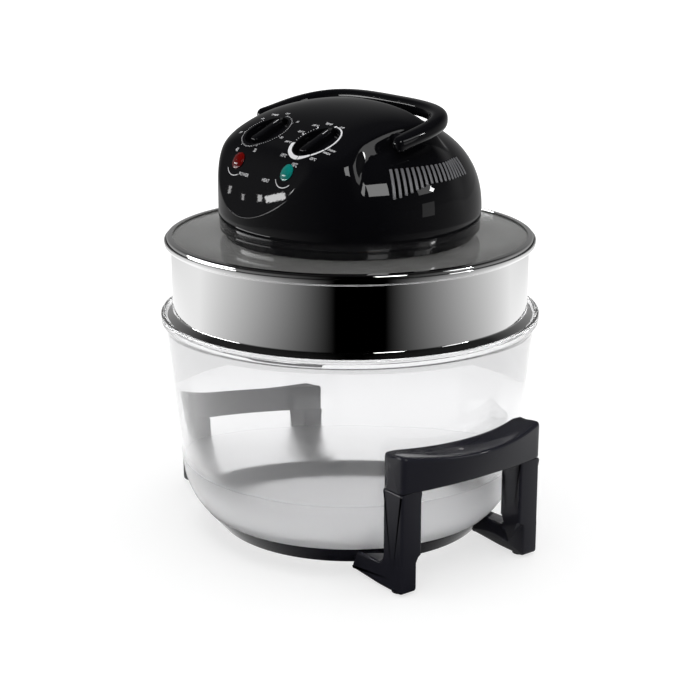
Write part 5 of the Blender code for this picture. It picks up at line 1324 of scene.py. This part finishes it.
class OVEN_OT_carried_parts(bpy.types.Operator):
    """Gives every CAD node that stays its procedural material"""

    bl_idname = "oven.carried_parts"
    bl_label = "Carried parts"

    def execute(self, context):
        slots = [entry["slot"] for entry in frame["record"]["materials"]]
        for node in frame["nodes"].values():
            slot = node.data.materials[0].name.split(".")[0]
            if slot not in slots:
                raise RuntimeError(f"{node.name} names no material slot")
            node.data.materials[0] = finish(slot)
        return {"FINISHED"}


class OVEN_OT_studio(bpy.types.Operator):
    """Sets the pale floor, the soft lights, the world and the photograph's camera"""

    bl_idname = "oven.studio"
    bl_label = "Studio"

    def execute(self, context):
        settings = context.scene.oven_studio
        make_floor(settings)
        make_world(context.scene, settings)
        for name, place, size, roll, power, lit in SOFTBOXES:
            softbox(name, place, size, roll, power * settings.lamp_power, lit)
        make_camera(context.scene, settings)
        context.scene.view_settings.view_transform = "Standard"
        return {"FINISHED"}


# The wedge: its turn from the camera's azimuth, the turns where it starts and ends, and its curve
WEDGE_TURN = np.radians(6)
WEDGE_ENDS = (float(np.radians(14)), float(np.radians(136)))
WEDGE_POWER = 1.25
WEDGE_GAIN = 1.5
WEDGE_TOP = 1.1

# The floor, and three ranges: where each starts and ends, and the level at both
FLOOR_RINGS = (0, 0.05, 0.2, 0.5, 1, 2, 4)
FLOOR_GREY = 0.42
FLOOR_THROUGH = 0.92
FLOOR_SEEN = (0.4, 2.0, 0.66, 1.0)
FLOOR_MIRRORED = (0.8, 1.4, 1.0, 0.3)
SKY_MIRRORED = (0.05, 0.62, 0.24, 0.016)

# Each softbox: name, place, its two sides, its roll in degrees, its power in watts, and whether it
# lights surfaces or is only mirrored in them. The places of the mirrored ones follow from the photo's
# highlights.
SOFTBOXES = (
    ("overhead", (0.0, 0.0, 2.6), (2.2, 2.2), 0, 26.0, True),
    ("key", (1.58, 1.26, 0.83), (0.15, 0.15), 45, 3.2, False),
    ("ridge", (1.66, 0.99, 1.01), (0.50, 0.60), 0, 2.4, False),
    ("low", (1.75, 1.08, 0.22), (0.45, 0.36), 0, 0.40, False),
    ("shoulder", (1.75, -0.37, 1.20), (0.60, 0.60), 0, 9.0, False),
    ("band", (-1.28, -1.53, 0.54), (1.60, 0.36), 0, 16.0, False),
    ("pane_1", (-1.668, -0.969, 1.036), (0.005, 0.015), 40, 0.0014, False),
    ("pane_2", (-1.639, -0.985, 1.041), (0.005, 0.013), 45, 0.0012, False),
    ("pane_3", (-1.608, -0.995, 1.058), (0.008, 0.014), 50, 0.0028, False),
    ("pane_4", (-1.581, -1.002, 1.076), (0.040, 0.014), 60, 0.0211, False),
    ("pane_5", (-1.546, -1.009, 1.101), (0.018, 0.013), 60, 0.0088, False),
)


def softbox(name, place, size, roll, power, lit):
    """An area light that faces the head, either lighting surfaces or only mirrored in them."""
    light = bpy.data.lights.new(name, "AREA")
    light.shape = "RECTANGLE"
    light.size, light.size_y = size
    light.energy = power
    obj = new_object(name, light)
    obj.location = place
    aim = (Vector((0, 0, 0.3)) - Vector(place)).to_track_quat("-Z", "Y").to_matrix()
    obj.rotation_euler = (aim @ Matrix.Rotation(np.radians(roll), 3, "Z")).to_euler()
    obj.visible_camera = False
    obj.visible_transmission = False
    obj.visible_diffuse = lit
    obj.visible_glossy = not lit


def wedge(tree, x, y, settings):
    """The studio by azimuth: dark where the photographer stands, and lighter by a power of the turn."""
    heading = settings.azimuth - np.pi / 2 + WEDGE_TURN
    along = plus(tree, times(tree, x, float(np.cos(heading))), times(tree, y, float(np.sin(heading))))
    reach = math(tree, "MAXIMUM", axis_distance(tree, x, y), 0.0001)
    cosine = math(tree, "MINIMUM", math(tree, "DIVIDE", along, reach), 0.9999)
    share = mapped(tree, math(tree, "ARCCOSINE", cosine), *WEDGE_ENDS)
    level = times(tree, math(tree, "POWER", share, WEDGE_POWER), WEDGE_GAIN)
    return math(tree, "MINIMUM", level, WEDGE_TOP)


def mirrored(tree, path):
    """One for rays that a surface reflects, and zero for those that glass lets through."""
    return times(tree, path["Is Glossy Ray"], math(tree, "SUBTRACT", 1.0, path["Is Transmission Ray"]))


def empty_tree(owner):
    owner.use_nodes = True
    owner.node_tree.nodes.clear()
    return owner.node_tree


def make_floor(settings):
    """A flat round floor as turned rings. Cameras see it white with the shadow kept, and glossy rays
    see the studio's wedge."""
    rings = turned([(radius, 0.0) for radius in (*FLOOR_RINGS, settings.floor_radius)], False, 96)
    floor = new_object("floor", new_mesh("floor", [rings]))
    if sum(face.normal.z for face in floor.data.polygons) < 0:
        floor.data.flip_normals()
    made = bpy.data.materials.new("pale_floor")
    tree = empty_tree(made)
    x, y, _ = split(tree, node(tree, "TexCoord").outputs["Object"])
    path = node(tree, "LightPath").outputs
    reach = axis_distance(tree, x, y)
    seen = times(tree, path["Is Camera Ray"], mapped(tree, reach, *FLOOR_SEEN))
    through = times(tree, path["Is Transmission Ray"], FLOOR_THROUGH)
    glossy = times(tree, wedge(tree, x, y, settings), mapped(tree, reach, *FLOOR_MIRRORED))
    lit = node(tree, "BsdfDiffuse", {"Color": tint((FLOOR_GREY,) * 3)})
    fill = node(tree, "Emission", {"Strength": math(tree, "MAXIMUM", seen, through)})
    mirror = node(tree, "Emission", {"Strength": glossy})
    shown = node(tree, "AddShader", {0: lit.outputs[0], 1: fill.outputs[0]})
    mix = node(tree, "MixShader", {0: mirrored(tree, path), 1: shown.outputs[0], 2: mirror.outputs[0]})
    node(tree, "OutputMaterial", {"Surface": mix.outputs[0]})
    floor.data.materials.append(made)


def make_world(scene, settings):
    """White for the camera and through glass, the wedge in reflections, and an even ambient light."""
    scene.world = bpy.data.worlds.new("studio")
    tree = empty_tree(scene.world)
    x, y, z = split(tree, node(tree, "TexCoord").outputs["Generated"])
    path = node(tree, "LightPath").outputs
    gloss = times(tree, wedge(tree, x, y, settings), mapped(tree, z, *SKY_MIRRORED))
    white = math(tree, "MAXIMUM", path["Is Camera Ray"], path["Is Transmission Ray"])
    even = plus(tree, times(tree, white, 1.0 - settings.ambient), settings.ambient)
    glossy = mirrored(tree, path)
    rest = times(tree, even, math(tree, "SUBTRACT", 1.0, glossy))
    strength = plus(tree, times(tree, gloss, glossy), rest)
    background = node(tree, "Background", {"Color": (1, 1, 1, 1), "Strength": strength})
    node(tree, "OutputWorld", {"Surface": background.outputs[0]})


def make_camera(scene, settings):
    """The photograph's camera: its lens gives the photograph's focal length in pixels at 700 wide."""
    data = bpy.data.cameras.new("photo_camera")
    data.sensor_width = SENSOR_WIDTH
    data.lens = PHOTO_FOCAL_PIXELS * SENSOR_WIDTH / PHOTO_SIZE
    data.clip_start, data.clip_end = 0.05, 50.0
    camera = new_object("photo_camera", data)
    flat = settings.distance * np.cos(settings.elevation)
    offset = Vector((flat * np.sin(settings.azimuth), -flat * np.cos(settings.azimuth),
                     settings.distance * np.sin(settings.elevation)))
    camera.location = Vector(CAMERA_TARGET) + offset
    camera.rotation_euler = offset.to_track_quat("Z", "Y").to_euler()
    scene.camera = camera


class OVEN_PT_sidebar(bpy.types.Panel):
    """The oven's steps and sizes in the 3D view's sidebar"""

    bl_idname = "OVEN_PT_sidebar"
    bl_label = "Turbo oven"
    bl_space_type = "VIEW_3D"
    bl_region_type = "UI"
    bl_category = "Oven"

    def draw(self, context):
        scene = context.scene
        for group in (scene.oven_sizes, scene.oven_colours, scene.oven_studio):
            for name in group.__annotations__:
                self.layout.prop(group, name)
        for step in STEPS:
            self.layout.operator(step.bl_idname)


PROPERTY_GROUPS = {"oven_sizes": OvenSizes, "oven_colours": OvenColours, "oven_studio": StudioSettings}
STEPS = (
    OVEN_OT_carried_parts, OVEN_OT_stand, OVEN_OT_glass_and_steel, OVEN_OT_head, OVEN_OT_handle,
    OVEN_OT_controls, OVEN_OT_prints, OVEN_OT_studio,
)


def register():
    for made in (*PROPERTY_GROUPS.values(), *STEPS, OVEN_PT_sidebar):
        bpy.utils.register_class(made)
    for name, group in PROPERTY_GROUPS.items():
        setattr(bpy.types.Scene, name, PointerProperty(type=group))


def unregister():
    for name in PROPERTY_GROUPS:
        delattr(bpy.types.Scene, name)
    for made in (OVEN_PT_sidebar, *reversed(STEPS), *PROPERTY_GROUPS.values()):
        bpy.utils.unregister_class(made)


def main():
    register()
    for step in STEPS:
        area, name = step.bl_idname.split(".")
        getattr(getattr(bpy.ops, area), name)()


if __name__ == "__main__":
    main()
